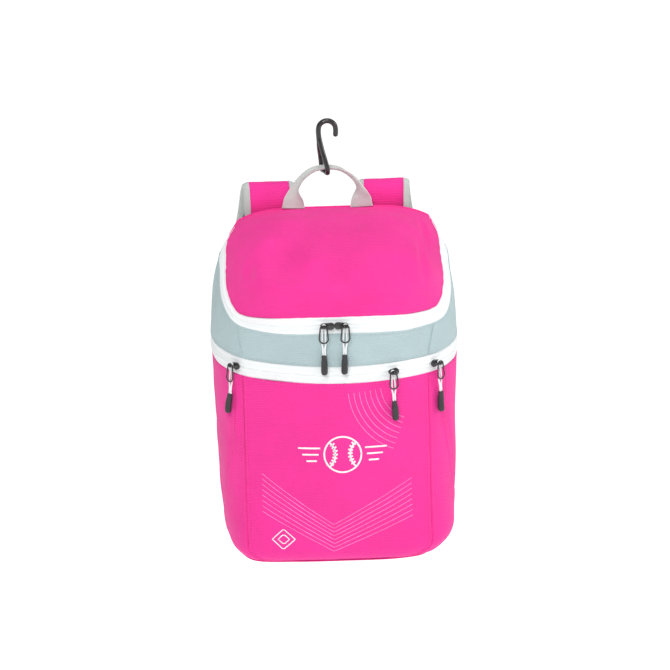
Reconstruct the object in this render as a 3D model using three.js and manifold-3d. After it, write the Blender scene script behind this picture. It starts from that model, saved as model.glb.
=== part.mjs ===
// A youth baseball backpack that hangs by its top handle from a plastic hook.
// Millimetres, +Z up, the front faces -Y and +X is the right side seen from the front.
// The origin is the inside top of the hook's crook, where the bag hangs.
import * as THREE from 'three';
import Module from 'manifold-3d';
import { mergeVertices } from 'three/addons/utils/BufferGeometryUtils.js';

const wasm = await Module();
wasm.setup();

// Driving dimensions of the bag
const bagWidth = 330;
const bagDepth = 205;
const bagHeight = 440;
const lowerZipHeight = 271;
const upperZipHeight = 343;
const baseRadius = 24;
const baseRadiusRight = 44;
const frontCornerRadius = 30;
const rightSeamInset = 13.5;
const swayAtBase = 8;
const clothWall = 2.4;
const baseWall = 2.5;
const backPanelWall = 9.7;
const gap = 0.3;
const pleatDepth = 4;
const pleatHalfWidth = 7;
const dentDepth = 7;
const bandBulgeLeft = 4;
const bandBulgeRight = 2;

// Driving dimensions of the zips and their pulls
const tapeWidth = 24;
const tapeWall = 1.6;
const coilWidth = 4;
const coilRise = 1;
const sliderLength = 15;
const sliderHeight = 10;
const sliderTail = 4.5;
const sliderWall = 3;
const neckWidth = 3;
const headHeight = 4.6;
const headWall = 1.2;
const ringWidth = 14;
const ringHeight = 27;
const ringRim = 2;
const ringWall = 2;
const cordStrand = 2.4;
const cordLoopWidth = 6;
const cordLoopHeight = 45;
const gripWidth = 9;
const gripHeight = 28.5;

// Driving dimensions of the straps
const strapWidth = 69;
const padWall = 10.4;
const padEdgeWall = 5.2;
const padShoulder = 10;
const bindingWall = 1.3;
const bindingReach = 11;
const strapStandOff = 38;
const webbingWidth = 25;
const webbingWall = 1.6;
const buckleWidth = 36;
const buckleWall = 4;
const buckleBar = 3.5;
const buckleUpperSlot = 7.5;
const buckleLowerSlot = 5;
const tailLength = 80;
const anchorHeight = 22;
const anchorLength = 28;

// Driving dimensions of the handle and the hook
const handleSpan = 92;
const handleRise = 52.3;
const handleWidth = 31;
const handleWall = 2;
const hookLegSpread = 21;
const hookLegWidth = 6.4;
const hookReach = 64.5;
const crookWidth = 23;
const crookRod = 7.6;
const crookTip = 23;
const stemSplit = 24;

// Lengths that follow from the ones above
const halfWidth = bagWidth / 2;
const backSeat = backPanelWall + gap;
const depthRange = bagDepth - backSeat;
const lidRise = bagHeight - upperZipHeight;
const barTop = bagHeight + handleRise;
const hangHeight = barTop + hookReach;
const tapeHalf = tapeWidth / 2;
const wallTop = lowerZipHeight - tapeHalf - gap;
const bandBottom = lowerZipHeight + tapeHalf + gap;
const wallBottom = baseWall + gap;

// Plan of the bag from the front centre to the back corner, at the lower zip and at
// the boxier base, as shares of the half width and of the depth before the back panel
const planRows = [
  { across: 0, forward: 1, baseAcross: 0, baseForward: 1.005 },
  { across: 0.424, forward: 0.938, baseAcross: 0.424, baseForward: 0.998 },
  { across: 0.794, forward: 0.769, baseAcross: 0.79, baseForward: 0.95 },
  { across: 0.952, forward: 0.554, baseAcross: 0.892, baseForward: 0.79 },
  { across: 1, forward: 0.354, baseAcross: 0.918, baseForward: 0.5 },
  { across: 0.988, forward: 0.154, baseAcross: 0.918, baseForward: 0.2 },
  { across: 0.909, forward: 0, baseAcross: 0.9, baseForward: 0 },
];
const seamRow = 2;

// How far the plan has turned from the zip's to the base's, up the zip's height
const levelRows = [
  { height: 0, boxy: 1 },
  { height: 0.12, boxy: 0.93 },
  { height: 0.25, boxy: 0.62 },
  { height: 0.35, boxy: 0.5 },
  { height: 0.53, boxy: 0.42 },
  { height: 0.69, boxy: 0.28 },
  { height: 0.95, boxy: 0.03 },
  { height: 1.1, boxy: -0.03 },
];

// Centre line of the upper zip from the front centre to the back corner: shares of
// the half width on the right and on the left, of the depth and of the lid's rise,
// its lean inwards in degrees, and how much of the tape's width shows on either side
const upperZipRows = [
  { across: 0, leftAcross: 0, forward: 1, rise: 0, lean: 2, left: 1, right: 1 },
  { across: 0.424, leftAcross: 0.424, forward: 0.959, rise: -0.02, lean: 6, left: 0.98, right: 0.99 },
  { across: 0.63, leftAcross: 0.63, forward: 0.872, rise: -0.03, lean: 12, left: 0.85, right: 0.88 },
  { across: 0.83, leftAcross: 0.83, forward: 0.744, rise: 0.02, lean: 20, left: 0.62, right: 0.76 },
  { across: 0.902, leftAcross: 0.9, forward: 0.59, rise: 0.216, lean: 28, left: 0.62, right: 0.9 },
  { across: 0.913, leftAcross: 0.892, forward: 0.354, rise: 0.464, lean: 31, left: 0.66, right: 1 },
  { across: 0.913, leftAcross: 0.873, forward: 0.179, rise: 0.61, lean: 31, left: 0.8, right: 1 },
  { across: 0.86, leftAcross: 0.775, forward: 0, rise: 0.73, lean: 30, left: 1, right: 1 },
];
const upperSeamShare = 0.455;
const rightBandColumn = 2;

// Middle profile of the lid from its back edge to its front edge
const lidRows = [
  { forward: 0, rise: 1 },
  { forward: 0.205, rise: 0.99 },
  { forward: 0.46, rise: 0.907 },
  { forward: 0.718, rise: 0.763 },
  { forward: 0.923, rise: 0.536 },
  { forward: 0.974, rise: 0.33 },
  { forward: 0.992, rise: 0.128 },
];
const lidCrownPower = 4.6;

// Soft dents of the lid: place across and along it, reach and share of the depth
const lidDents = [
  { across: -0.45, along: 0.52, reachAcross: 0.34, reachAlong: 0.28, depth: 1 },
  { across: 0.55, along: 0.6, reachAcross: 0.3, reachAlong: 0.22, depth: 0.5 },
];

// Slanting pleat of a side panel: plan share and depth at shares of the zip height
const pleatRows = [
  { height: 0, share: 0.61, depth: 0 },
  { height: 0.2, share: 0.6, depth: 0 },
  { height: 0.33, share: 0.5, depth: 0.7 },
  { height: 0.55, share: 0.43, depth: 1 },
  { height: 0.7, share: 0.395, depth: 0.9 },
  { height: 0.84, share: 0.385, depth: 0 },
  { height: 1, share: 0.385, depth: 0 },
];

// Middle line of a shoulder strap: shares of the half width, the stand-off behind
// the back and the bag's height, with its width and thickness
const strapRows = [
  { across: 0.46, back: -0.05, height: 1, wide: 1, thick: 0.55 },
  { across: 0.463, back: 0.06, height: 1.032, wide: 1, thick: 0.9 },
  { across: 0.47, back: 0.38, height: 1.066, wide: 1, thick: 1 },
  { across: 0.48, back: 0.78, height: 1.032, wide: 1, thick: 1 },
  { across: 0.5, back: 0.95, height: 0.96, wide: 1, thick: 1 },
  { across: 0.55, back: 1, height: 0.86, wide: 1, thick: 1 },
  { across: 0.62, back: 1, height: 0.727, wide: 1, thick: 1 },
  { across: 0.69, back: 0.95, height: 0.591, wide: 0.98, thick: 1 },
  { across: 0.74, back: 0.86, height: 0.477, wide: 0.9, thick: 0.9 },
  { across: 0.765, back: 0.76, height: 0.395, wide: 0.72, thick: 0.8 },
];

// Half of the handle from its base to the hook: shares of the half span and the
// rise, its width, and its turn from facing forward to lying flat
const handleRows = [
  { across: 1, rise: 0, wide: 1, turn: 0 },
  { across: 1, rise: 0.26, wide: 1, turn: 2 },
  { across: 0.93, rise: 0.52, wide: 0.8, turn: 62 },
  { across: 0.74, rise: 0.76, wide: 0.72, turn: 88 },
  { across: 0.42, rise: 0.95, wide: 0.62, turn: 90 },
  { across: 0.14, rise: 1.0, wide: 0.43, turn: 90 },
];

// Zip pulls: which zip, the share along it where the pull hangs, which way the
// slider's nose points, how far the pull swings to the side and how far its lower
// end lifts off the cloth, both in degrees
const pullRows = [
  { name: '1', zip: 'upper', share: -0.073, nose: 1, swing: -1, lift: 0 },
  { name: '2', zip: 'upper', share: 0.016, nose: -1, swing: 1, lift: 0 },
  { name: '3', zip: 'lower', share: 0.155, nose: 1, swing: -3, lift: 1 },
  { name: '4', zip: 'lower', share: -0.378, nose: 1, swing: 2, lift: 2.5 },
  { name: '5', zip: 'lower', share: 0.324, nose: -1, swing: -1, lift: 4 },
];

// Colours and finishes
const finishes = {
  pink: { color: 0xfc3f9b, roughness: 0.75, metalness: 0 },
  greyBlue: { color: 0xb9cdd3, roughness: 0.75, metalness: 0 },
  white: { color: 0xf3f7f8, roughness: 0.6, metalness: 0 },
  lightGrey: { color: 0xc8ceca, roughness: 0.7, metalness: 0 },
  darkMesh: { color: 0x53504f, roughness: 0.85, metalness: 0 },
  black: { color: 0x1c1c1e, roughness: 0.4, metalness: 0 },
  rubber: { color: 0x2e2e30, roughness: 0.65, metalness: 0 },
};

const bag = new THREE.Group();
bag.position.set(0, 0, -hangHeight);

const up = new THREE.Vector3(0, 0, 1);

function addPiece(name, geometry, finish) {
  const mesh = new THREE.Mesh(geometry, new THREE.MeshStandardMaterial(finishes[finish]));
  mesh.name = name;
  bag.add(mesh);
  return mesh;
}

// Small helpers for tables and curves
function between(rows, key, at, column) {
  const last = rows.length - 1;
  let row = 0;
  while (row < last - 1 && rows[row + 1][key] < at) row += 1;
  const low = rows[row];
  const high = rows[row + 1];
  const part = THREE.MathUtils.clamp((at - low[key]) / (high[key] - low[key]), 0, 1);
  return THREE.MathUtils.lerp(low[column], high[column], part);
}

function alongRows(rows, part, column) {
  const at = part * (rows.length - 1);
  const row = Math.min(Math.floor(at), rows.length - 2);
  return THREE.MathUtils.lerp(rows[row][column], rows[row + 1][column], at - row);
}

function spread(from, to, steps) {
  return Array.from({ length: steps + 1 }, (_, i) => from + ((to - from) * i) / steps);
}

function roundCurve(points) {
  const curve = new THREE.CatmullRomCurve3(points, false, 'centripetal');
  curve.arcLengthDivisions = 600;
  return curve;
}

// The hanging bag swings a little to the right towards its base
function sway(height) {
  return swayAtBase * Math.max(0, 1 - height / bagHeight) ** 0.8;
}

// A closed body from its corner points and polygon faces, turned to face outwards.
// A four-sided face is split along its shorter diagonal, so that faces that lie
// against each other are split alike.
function closedBody(points, faces) {
  const corners = [];
  for (const polygon of faces) {
    const reach = (i, j) => points[polygon[i]].distanceTo(points[polygon[j]]);
    const turn = polygon.length === 4 && reach(0, 2) > reach(1, 3) + 1e-6;
    const face = turn ? [...polygon.slice(1), polygon[0]] : polygon;
    for (let i = 1; i < face.length - 1; i += 1) corners.push(face[0], face[i], face[i + 1]);
  }
  let volume = 0;
  const cross = new THREE.Vector3();
  for (let i = 0; i < corners.length; i += 3) {
    cross.crossVectors(points[corners[i]], points[corners[i + 1]]);
    volume += cross.dot(points[corners[i + 2]]);
  }
  if (volume < 0) corners.reverse();
  const geometry = new THREE.BufferGeometry();
  geometry.setAttribute(
    'position',
    new THREE.Float32BufferAttribute(points.flatMap((point) => point.toArray()), 3),
  );
  geometry.setIndex(corners);
  geometry.computeVertexNormals();
  return geometry;
}

// A shell of even wall between a grid of outer points and the same grid moved inwards
function shell(outer, inner) {
  const rows = outer.length;
  const columns = outer[0].length;
  const points = [...outer.flat(), ...inner.flat()];
  const front = (row, column) => row * columns + column;
  const back = (row, column) => rows * columns + front(row, column);
  const faces = [];
  for (let row = 0; row < rows - 1; row += 1) {
    for (let column = 0; column < columns - 1; column += 1) {
      const corners = [[row, column], [row, column + 1], [row + 1, column + 1], [row + 1, column]];
      faces.push(corners.map(([r, c]) => front(r, c)));
      faces.push(corners.map(([r, c]) => back(r, c)).reverse());
    }
    for (const [column, step] of [[0, 1], [columns - 1, -1]]) {
      const rim = [front(row, column), front(row + 1, column), back(row + 1, column), back(row, column)];
      faces.push(step > 0 ? rim : rim.reverse());
    }
  }
  for (let column = 0; column < columns - 1; column += 1) {
    for (const [row, step] of [[0, 1], [rows - 1, -1]]) {
      const rim = [front(row, column + 1), front(row, column), back(row, column), back(row, column + 1)];
      faces.push(step > 0 ? rim : rim.reverse());
    }
  }
  return closedBody(points, faces);
}

function wallShell(rowValues, columnValues, pointAt, awayAt, wall) {
  const outer = rowValues.map((r) => columnValues(r).map((c) => pointAt(c, r)));
  const inner = rowValues.map((r, i) => columnValues(r).map((c, j) => (
    outer[i][j].clone().addScaledVector(awayAt(c, r), -wall)
  )));
  return shell(outer, inner);
}

// A body swept through stations, each a flat outline of the same number of points
function sweep(outlines, stations) {
  const count = outlines[0].length;
  const points = stations.flatMap((station, i) => outlines[i].map((point) => (
    station.at.clone()
      .addScaledVector(station.side, point.x)
      .addScaledVector(station.out, point.y)
  )));
  const faces = [];
  for (let i = 0; i < stations.length - 1; i += 1) {
    for (let j = 0; j < count; j += 1) {
      const next = (j + 1) % count;
      faces.push([i * count + j, i * count + next, (i + 1) * count + next, (i + 1) * count + j]);
    }
  }
  const cap = THREE.ShapeUtils.triangulateShape(outlines[0], []);
  const turned = THREE.ShapeUtils.area(outlines[0]) > 0;
  const end = (stations.length - 1) * count;
  for (const face of cap) {
    const first = turned ? [...face].reverse() : face;
    faces.push(first);
    faces.push([...first].reverse().map((corner) => corner + end));
  }
  return closedBody(points, faces);
}

// A station on a curve whose width stays as near as it can to a given direction
function stationOn(curve, part, across) {
  const along = curve.getTangentAt(part);
  const side = across.clone().addScaledVector(along, -across.dot(along)).normalize();
  const out = new THREE.Vector3().crossVectors(side, along);
  return { at: curve.getPointAt(part), side, out, along };
}

function flatOutline(width, wall) {
  return [
    new THREE.Vector2(-width / 2, -wall / 2),
    new THREE.Vector2(width / 2, -wall / 2),
    new THREE.Vector2(width / 2, wall / 2),
    new THREE.Vector2(-width / 2, wall / 2),
  ];
}

// Joining with manifold-3d
function toSolid(geometry) {
  const bare = geometry.clone();
  bare.deleteAttribute('normal');
  bare.deleteAttribute('uv');
  const merged = mergeVertices(bare, 1e-4);
  return new wasm.Manifold(new wasm.Mesh({
    numProp: 3,
    vertProperties: Float32Array.from(merged.attributes.position.array),
    triVerts: Uint32Array.from(merged.index.array),
  }));
}

function joined(geometries) {
  const whole = geometries.map(toSolid).reduce((sum, solid) => sum.add(solid));
  const mesh = whole.getMesh();
  const geometry = new THREE.BufferGeometry();
  geometry.setAttribute('position', new THREE.Float32BufferAttribute(mesh.vertProperties, 3));
  geometry.setIndex(Array.from(mesh.triVerts));
  geometry.computeVertexNormals();
  return geometry;
}

// The bag's wall: a point for a plan share (-1 and 1 are the back corners) and a height
const mirrored = (rows) => [
  ...rows.slice(1).reverse().map((row) => ({ ...row, across: -(row.leftAcross ?? row.across) })),
  ...rows,
];
const planCurve = roundCurve(mirrored(planRows).map((row) => (
  new THREE.Vector3(row.across * halfWidth, -(backSeat + row.forward * depthRange), 0)
)));
const baseCurve = roundCurve(mirrored(planRows).map((row) => {
  const side = Math.sign(row.across);
  return new THREE.Vector3(
    side * row.baseAcross * halfWidth,
    -(backSeat + row.baseForward * depthRange),
    0,
  );
}));
const planHalfLength = planCurve.getLength() / 2;
const shareOf = (length) => length / planHalfLength;
const curvePart = (share) => THREE.MathUtils.clamp((share + 1) / 2, 0, 1);

// The front seams: the one on the right stands nearer to the middle
const seamMiddle = seamRow / (planRows.length - 1);
const seamLeft = seamMiddle;
const seamRight = seamMiddle - shareOf(rightSeamInset);
const seamOf = (share) => (share < 0 ? seamLeft : seamRight);

// The base's edge rounds more at its right end
function baseRadiusAt(share) {
  const part = THREE.MathUtils.smoothstep(share, seamRight / 2, 1.5 * seamRight);
  return THREE.MathUtils.lerp(baseRadius, baseRadiusRight, part);
}

function baseInset(share, height) {
  const radius = baseRadiusAt(share);
  const below = Math.max(0, radius - height);
  return radius - Math.sqrt(radius ** 2 - below ** 2);
}

function pleatAt(share, height) {
  const level = height / lowerZipHeight;
  const middle = between(pleatRows, 'height', level, 'share');
  const reach = Math.abs(Math.abs(share) - middle) / shareOf(pleatHalfWidth);
  return pleatDepth * between(pleatRows, 'height', level, 'depth') * Math.max(0, 1 - reach);
}

const boxyAt = (height) => between(levelRows, 'height', height / lowerZipHeight, 'boxy');

function planAway(share, height) {
  const part = curvePart(share);
  const along = planCurve.getTangent(part).lerp(baseCurve.getTangent(part), boxyAt(height));
  return new THREE.Vector3(along.y, -along.x, 0).normalize();
}

function wallPoint(share, height) {
  const part = curvePart(share);
  const plan = planCurve.getPoint(part).lerp(baseCurve.getPoint(part), boxyAt(height));
  const inset = baseInset(share, height);
  return new THREE.Vector3(
    plan.x * (1 - inset / halfWidth) + sway(height),
    -backSeat + (plan.y + backSeat) * (1 - inset / depthRange),
    height,
  ).addScaledVector(planAway(share, height), -pleatAt(share, height));
}

function wallAway(share, height) {
  const radius = baseRadiusAt(share);
  const below = Math.max(0, radius - height) / radius;
  const level = planAway(share, height).multiplyScalar(Math.sqrt(1 - below ** 2));
  return level.addScaledVector(up, -below);
}

// The front seam runs down and rounds in at the base
function seamShare(side, height) {
  const below = Math.max(0, frontCornerRadius - height) / frontCornerRadius;
  return seamOf(side) - shareOf(frontCornerRadius) * (1 - Math.sqrt(1 - below ** 2));
}

const baseAngles = [0, 28, 48];
const wallHeights = [
  wallBottom,
  ...baseAngles.map((angle) => baseRadius * (1 - Math.sin(THREE.MathUtils.degToRad(angle)))).reverse(),
  ...[0.12, 0.2, 0.33, 0.43, 0.55, 0.7, 0.84].map((share) => share * lowerZipHeight),
  wallTop,
];
const seamHalf = shareOf(gap / 2);

function frontPanel() {
  const columns = (height) => (
    spread(seamHalf - seamShare(-1, height), seamShare(1, height) - seamHalf, 12)
  );
  return wallShell(wallHeights, columns, wallPoint, wallAway, clothWall);
}

// Columns of a side panel follow its pleat, then run evenly to the back corner
function sideColumns(side, height) {
  const middle = between(pleatRows, 'height', height / lowerZipHeight, 'share');
  const reach = shareOf(pleatHalfWidth);
  const shares = [
    seamShare(side, height) + seamHalf,
    middle - reach,
    middle,
    middle + reach,
    ...spread(middle + reach, 1, 5).slice(1),
  ];
  return shares.map((share) => share * side);
}

function sidePanel(side) {
  return wallShell(wallHeights, (height) => sideColumns(side, height), wallPoint, wallAway, clothWall);
}

// The upper zip's centre line and the direction across its tape
const upperCurve = roundCurve(mirrored(upperZipRows).map((row) => {
  const height = upperZipHeight + row.rise * lidRise;
  return new THREE.Vector3(
    row.across * halfWidth + sway(height),
    -(backSeat + row.forward * depthRange),
    height,
  );
}));
const leanRows = upperZipRows.map((row, i) => ({ ...row, share: i / (upperZipRows.length - 1) }));

function zipInward(share) {
  const turn = THREE.MathUtils.smoothstep(Math.abs(share), 0.15, 0.66) * (Math.PI / 2);
  return new THREE.Vector3(-Math.sign(share) * Math.sin(turn), Math.cos(turn), 0);
}

function zipAcross(share) {
  const lean = THREE.MathUtils.degToRad(between(leanRows, 'share', Math.abs(share), 'lean'));
  return up.clone().multiplyScalar(Math.cos(lean)).addScaledVector(zipInward(share), Math.sin(lean));
}

function zipAway(share) {
  const lean = THREE.MathUtils.degToRad(between(leanRows, 'share', Math.abs(share), 'lean'));
  return zipInward(share).multiplyScalar(-Math.cos(lean)).addScaledVector(up, Math.sin(lean));
}

// Where the tape narrows, its outer edge keeps its line and its inner edge comes out
function upperZipPoint(share, offset) {
  const side = share < 0 ? 'left' : 'right';
  const width = between(leanRows, 'share', Math.abs(share), side);
  const reach = (offset + tapeHalf) * width - tapeHalf;
  return upperCurve.getPointAt(curvePart(share)).addScaledVector(zipAcross(share), reach);
}

// Stations shared by the lid's rim, the upper tape and the band: the lid's rows set
// those of the sides and its columns those of the front
const lidColumns = spread(-1, 1, 16).map((part) => Math.sin((part * Math.PI) / 2));
const lidAlong = [0, 0.08, 0.18, 0.3, 0.42, 0.53, 0.63, 0.72, 0.8, 0.87, 0.94, 1];
const sideShares = lidAlong.map((along) => THREE.MathUtils.lerp(1, upperSeamShare, along));
const frontShares = lidColumns.map((across) => across * upperSeamShare);
const rimShares = [
  ...sideShares.map((share) => -share),
  ...frontShares.slice(1, -1),
  ...[...sideShares].reverse(),
];

// The band between the two zips, whose seams stand above the front panel's seams
const bandSeamRight = frontShares.at(-1 - rightBandColumn);
const bandSeamOf = (share) => (share < 0 ? upperSeamShare : bandSeamRight);

function lowerShare(share) {
  const size = Math.abs(share);
  const mapped = size < bandSeamOf(share)
    ? (size / bandSeamOf(share)) * seamOf(share)
    : THREE.MathUtils.mapLinear(size, bandSeamOf(share), 1, seamOf(share), 1);
  return Math.sign(share) * mapped;
}

function bandAway(share, part) {
  return planAway(lowerShare(share), bandBottom).lerp(zipAway(share), part).normalize();
}

function bandPoint(share, part) {
  const low = wallPoint(lowerShare(share), bandBottom);
  const high = upperZipPoint(share, -tapeHalf - gap);
  const bulge = share < 0 ? bandBulgeLeft : bandBulgeRight;
  const swell = bulge * THREE.MathUtils.smoothstep(Math.abs(share), 0.3, 0.8);
  const swollen = low.lerp(high, part);
  swollen.addScaledVector(bandAway(share, part), swell * Math.sin(Math.PI * part));
  if (Math.abs(share) === 1) swollen.y = -backSeat;
  return swollen;
}

function band(shares) {
  return wallShell(spread(0, 1, 4), () => shares, bandPoint, bandAway, clothWall);
}

// Zip tapes: a flat tape with the coil standing along its middle
const coilHalf = coilWidth / 2;
const tapeOffsets = [-tapeHalf, -coilHalf, 0, coilHalf, tapeHalf];
const coilAt = (offset) => (offset === 0 ? coilRise : 0);

function tape(shares, pointAt, awayAt) {
  const outer = tapeOffsets.map((offset) => shares.map((share) => (
    pointAt(share, offset).addScaledVector(awayAt(share), coilAt(offset))
  )));
  const inner = tapeOffsets.map((offset) => shares.map((share) => (
    pointAt(share, offset).addScaledVector(awayAt(share), -tapeWall)
  )));
  return shell(outer, inner);
}

const lowerZipPoint = (share, offset) => wallPoint(share, lowerZipHeight + offset);
const lowerZipAway = (share) => planAway(share, lowerZipHeight);

// The lid: rows run from its back edge to its front edge
const lidCurve = roundCurve(lidRows.map((row) => {
  const height = upperZipHeight + row.rise * lidRise;
  return new THREE.Vector3(0, -(backSeat + row.forward * depthRange), height);
}));
const lidEdge = (share) => upperZipPoint(share, tapeHalf + gap);

function lidPoint(across, along) {
  const share = THREE.MathUtils.lerp(1, upperSeamShare, along);
  const left = lidEdge(-share);
  const right = lidEdge(share);
  const chord = left.clone().lerp(right, (across + 1) / 2);
  const middle = left.clone().lerp(right, 0.5);
  const crown = lidCurve.getPoint(along);
  crown.x = middle.x;
  crown.sub(middle);
  const atFront = along ** 8;
  const hump = 1 - Math.abs(across) ** lidCrownPower;
  const frontLeft = lidEdge(-upperSeamShare);
  const frontChord = frontLeft.lerp(lidEdge(upperSeamShare), (across + 1) / 2);
  const bow = lidEdge(across * upperSeamShare).sub(frontChord);
  return chord.addScaledVector(crown, hump * (1 - atFront)).addScaledVector(bow, atFront);
}

function lidFacing(across, along) {
  const step = 0.02;
  const acrossFrom = Math.max(-1, across - step);
  const acrossTo = Math.min(1, across + step);
  const alongFrom = Math.max(0, along - step);
  const alongTo = Math.min(1, along + step);
  const sideways = lidPoint(acrossTo, along).sub(lidPoint(acrossFrom, along));
  const forwards = lidPoint(across, alongTo).sub(lidPoint(across, alongFrom));
  return forwards.cross(sideways).normalize();
}

// At its rim the lid turns to face as the zip tape does, and its back edge stands
// square to the back panel
function lidAway(across, along) {
  const share = THREE.MathUtils.lerp(1, upperSeamShare, along);
  const front = along > Math.abs(across);
  const rim = front ? zipAway(across * upperSeamShare) : zipAway(Math.sign(across) * share);
  const nearRim = Math.max(Math.abs(across), along) ** 12;
  const away = lidFacing(across, along).lerp(rim, nearRim);
  if (along === 0) away.y = 0;
  return away.normalize();
}

function lidDent(across, along) {
  return lidDents.reduce((sum, dent) => {
    const x = (across - dent.across) / dent.reachAcross;
    const y = (along - dent.along) / dent.reachAlong;
    return sum + dent.depth * dentDepth * Math.max(0, 1 - x * x - y * y) ** 2;
  }, 0);
}

function lid() {
  const pointAt = (across, along) => (
    lidPoint(across, along).addScaledVector(lidAway(across, along), -lidDent(across, along))
  );
  return wallShell(lidAlong, () => lidColumns, pointAt, lidAway, clothWall);
}

// The back panel's outline follows the back edges of the walls, the band and the lid
function backOutline() {
  const upHeights = [0.4, ...wallHeights, lowerZipHeight + tapeHalf];
  const rise = (side) => [
    ...upHeights.map((height) => wallPoint(side, height)),
    ...[0.25, 0.5, 0.75].map((part) => bandPoint(side, part)),
    upperZipPoint(side, -tapeHalf),
    upperZipPoint(side, tapeHalf),
  ];
  const top = [0.93, 0.85, 0.72, 0.5, 0.2, -0.2, -0.5, -0.72, -0.85, -0.93];
  const right = rise(1);
  right[0].setZ(0);
  const left = rise(-1);
  left[0].setZ(0);
  const arch = top.map((across) => lidPoint(across, 0));
  return [...right, ...arch, ...left.reverse()];
}

function backPanel() {
  const outline = new THREE.Shape(backOutline().map((point) => new THREE.Vector2(point.x, point.z)));
  const plate = new THREE.ExtrudeGeometry(outline, { depth: backPanelWall, bevelEnabled: false });
  return plate.rotateX(Math.PI / 2);
}

function bottomPanel() {
  const rim = spread(-1, 1, 36).map((share) => wallPoint(share, wallBottom));
  const outline = new THREE.Shape(rim.map((point) => new THREE.Vector2(point.x, point.y)));
  return new THREE.ExtrudeGeometry(outline, { depth: baseWall, bevelEnabled: false });
}

// Zip pulls. Their own frame has X to the side, Z up and -Y away from the bag.
const sliderSeat = coilRise + 2 * gap;
const cordLayer = sliderSeat + sliderWall + 2 * gap;
const ringLayer = cordLayer + cordStrand + gap;
const headLayer = ringLayer + ringWall + gap;

function slab(outline, holes, from, wall, curveSegments) {
  const shape = new THREE.Shape(outline);
  shape.holes = holes.map((hole) => new THREE.Path(hole));
  const geometry = new THREE.ExtrudeGeometry(shape, { depth: wall, bevelEnabled: false, curveSegments });
  return geometry.rotateX(Math.PI / 2).translate(0, -from, 0);
}

function rectangle(width, low, high) {
  return [
    new THREE.Vector2(-width / 2, low),
    new THREE.Vector2(width / 2, low),
    new THREE.Vector2(width / 2, high),
    new THREE.Vector2(-width / 2, high),
  ];
}

// An upright outline with two round ends, or a drop where the top end is narrower
function drop(topRadius, lowRadius, top, bottom, steps) {
  const points = [];
  for (const turn of spread(0, Math.PI, steps)) {
    points.push(new THREE.Vector2(
      topRadius * Math.cos(turn),
      top - topRadius + topRadius * Math.sin(turn),
    ));
  }
  for (const turn of spread(Math.PI, 2 * Math.PI, steps)) {
    points.push(new THREE.Vector2(
      lowRadius * Math.cos(turn),
      bottom + lowRadius + lowRadius * Math.sin(turn),
    ));
  }
  return points;
}

// The slider lies along the zip, and the pull hangs from a neck near its tail
function slider(nose) {
  const half = sliderHeight / 2;
  const upright = drop(half * 0.72, half, sliderTail, sliderTail - sliderLength, 6);
  const body = upright.map((point) => new THREE.Vector2(-point.y * nose, point.x));
  const neck = drop(neckWidth / 2, neckWidth / 2, neckWidth / 2, -neckWidth / 2, 4);
  const head = rectangle(neckWidth + 2, -headHeight / 2, headHeight / 2);
  return joined([
    slab(body, [], sliderSeat, sliderWall),
    slab(neck, [], sliderSeat + sliderWall / 2, headLayer - sliderSeat),
    slab(head, [], headLayer, headWall),
  ]);
}

const pullTop = neckWidth / 2 + gap;

function pullRing() {
  const top = pullTop + ringRim;
  const outer = drop(ringWidth * 0.4, ringWidth / 2, top, top - ringHeight, 6);
  const hole = drop(ringWidth * 0.4 - ringRim, ringWidth / 2 - ringRim, pullTop, top - ringHeight + ringRim, 5);
  return slab(outer, [hole], ringLayer, ringWall);
}

function pullCord() {
  const top = pullTop + cordStrand;
  const radius = cordLoopWidth / 2;
  const slit = radius - cordStrand + gap;
  const lower = top - cordLoopHeight;
  const outer = [
    ...drop(radius, radius, top, lower, 6).slice(0, 7),
    new THREE.Vector2(-radius * 0.85, lower),
    new THREE.Vector2(radius * 0.85, lower),
  ];
  const topHole = drop(neckWidth / 2 + gap, slit, pullTop, lower + cordStrand, 4);
  return slab(outer, [topHole], cordLayer, cordStrand);
}

function pullGrip() {
  const top = pullTop + cordStrand - cordLoopHeight - gap;
  const radius = gripWidth / 2;
  const profile = [
    new THREE.Vector2(0, top),
    new THREE.Vector2(radius * 0.8, top),
    new THREE.Vector2(radius * 0.95, top - gripHeight * 0.35),
    new THREE.Vector2(radius, top - gripHeight * 0.8),
    new THREE.Vector2(radius * 0.7, top - gripHeight * 0.95),
    new THREE.Vector2(0, top - gripHeight),
  ];
  const bar = new THREE.LatheGeometry(profile.reverse(), 8);
  bar.rotateX(Math.PI / 2);
  bar.scale(1, 0.8, 1);
  return bar.translate(0, -(cordLayer + cordStrand / 2), 0);
}

function placePulls() {
  for (const row of pullRows) {
    const upper = row.zip === 'upper';
    const seat = upper ? upperZipPoint(row.share, 0) : lowerZipPoint(row.share, 0);
    const away = upper ? planAway(lowerShare(row.share), bandBottom) : lowerZipAway(row.share);
    const turn = Math.atan2(away.x, -away.y);
    const swing = THREE.MathUtils.degToRad(row.swing);
    const lift = THREE.MathUtils.degToRad(row.lift);
    const fixed = new THREE.Euler(0, 0, turn, 'ZYX');
    const hanging = new THREE.Euler(-lift, swing, turn, 'ZYX');
    const pieces = [
      [`zip_slider_${row.name}`, slider(row.nose), 'black', fixed],
      [`zip_ring_${row.name}`, pullRing(), 'black', hanging],
      [`zip_cord_${row.name}`, pullCord(), 'white', hanging],
      [`zip_grip_${row.name}`, pullGrip(), 'rubber', hanging],
    ];
    for (const [name, geometry, finish, pose] of pieces) {
      const mesh = addPiece(name, geometry, finish);
      mesh.position.copy(seat);
      mesh.rotation.copy(pose);
    }
  }
}

// Shoulder straps
function strapPath(side) {
  return roundCurve(strapRows.map((row, i) => {
    const seat = i === 0 ? gap : 0;
    const height = row.height * bagHeight + seat;
    return new THREE.Vector3(side * row.across * halfWidth + sway(height), row.back * strapStandOff, height);
  }));
}

const strapSteps = 16;
const sideways = new THREE.Vector3(1, 0, 0);

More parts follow.
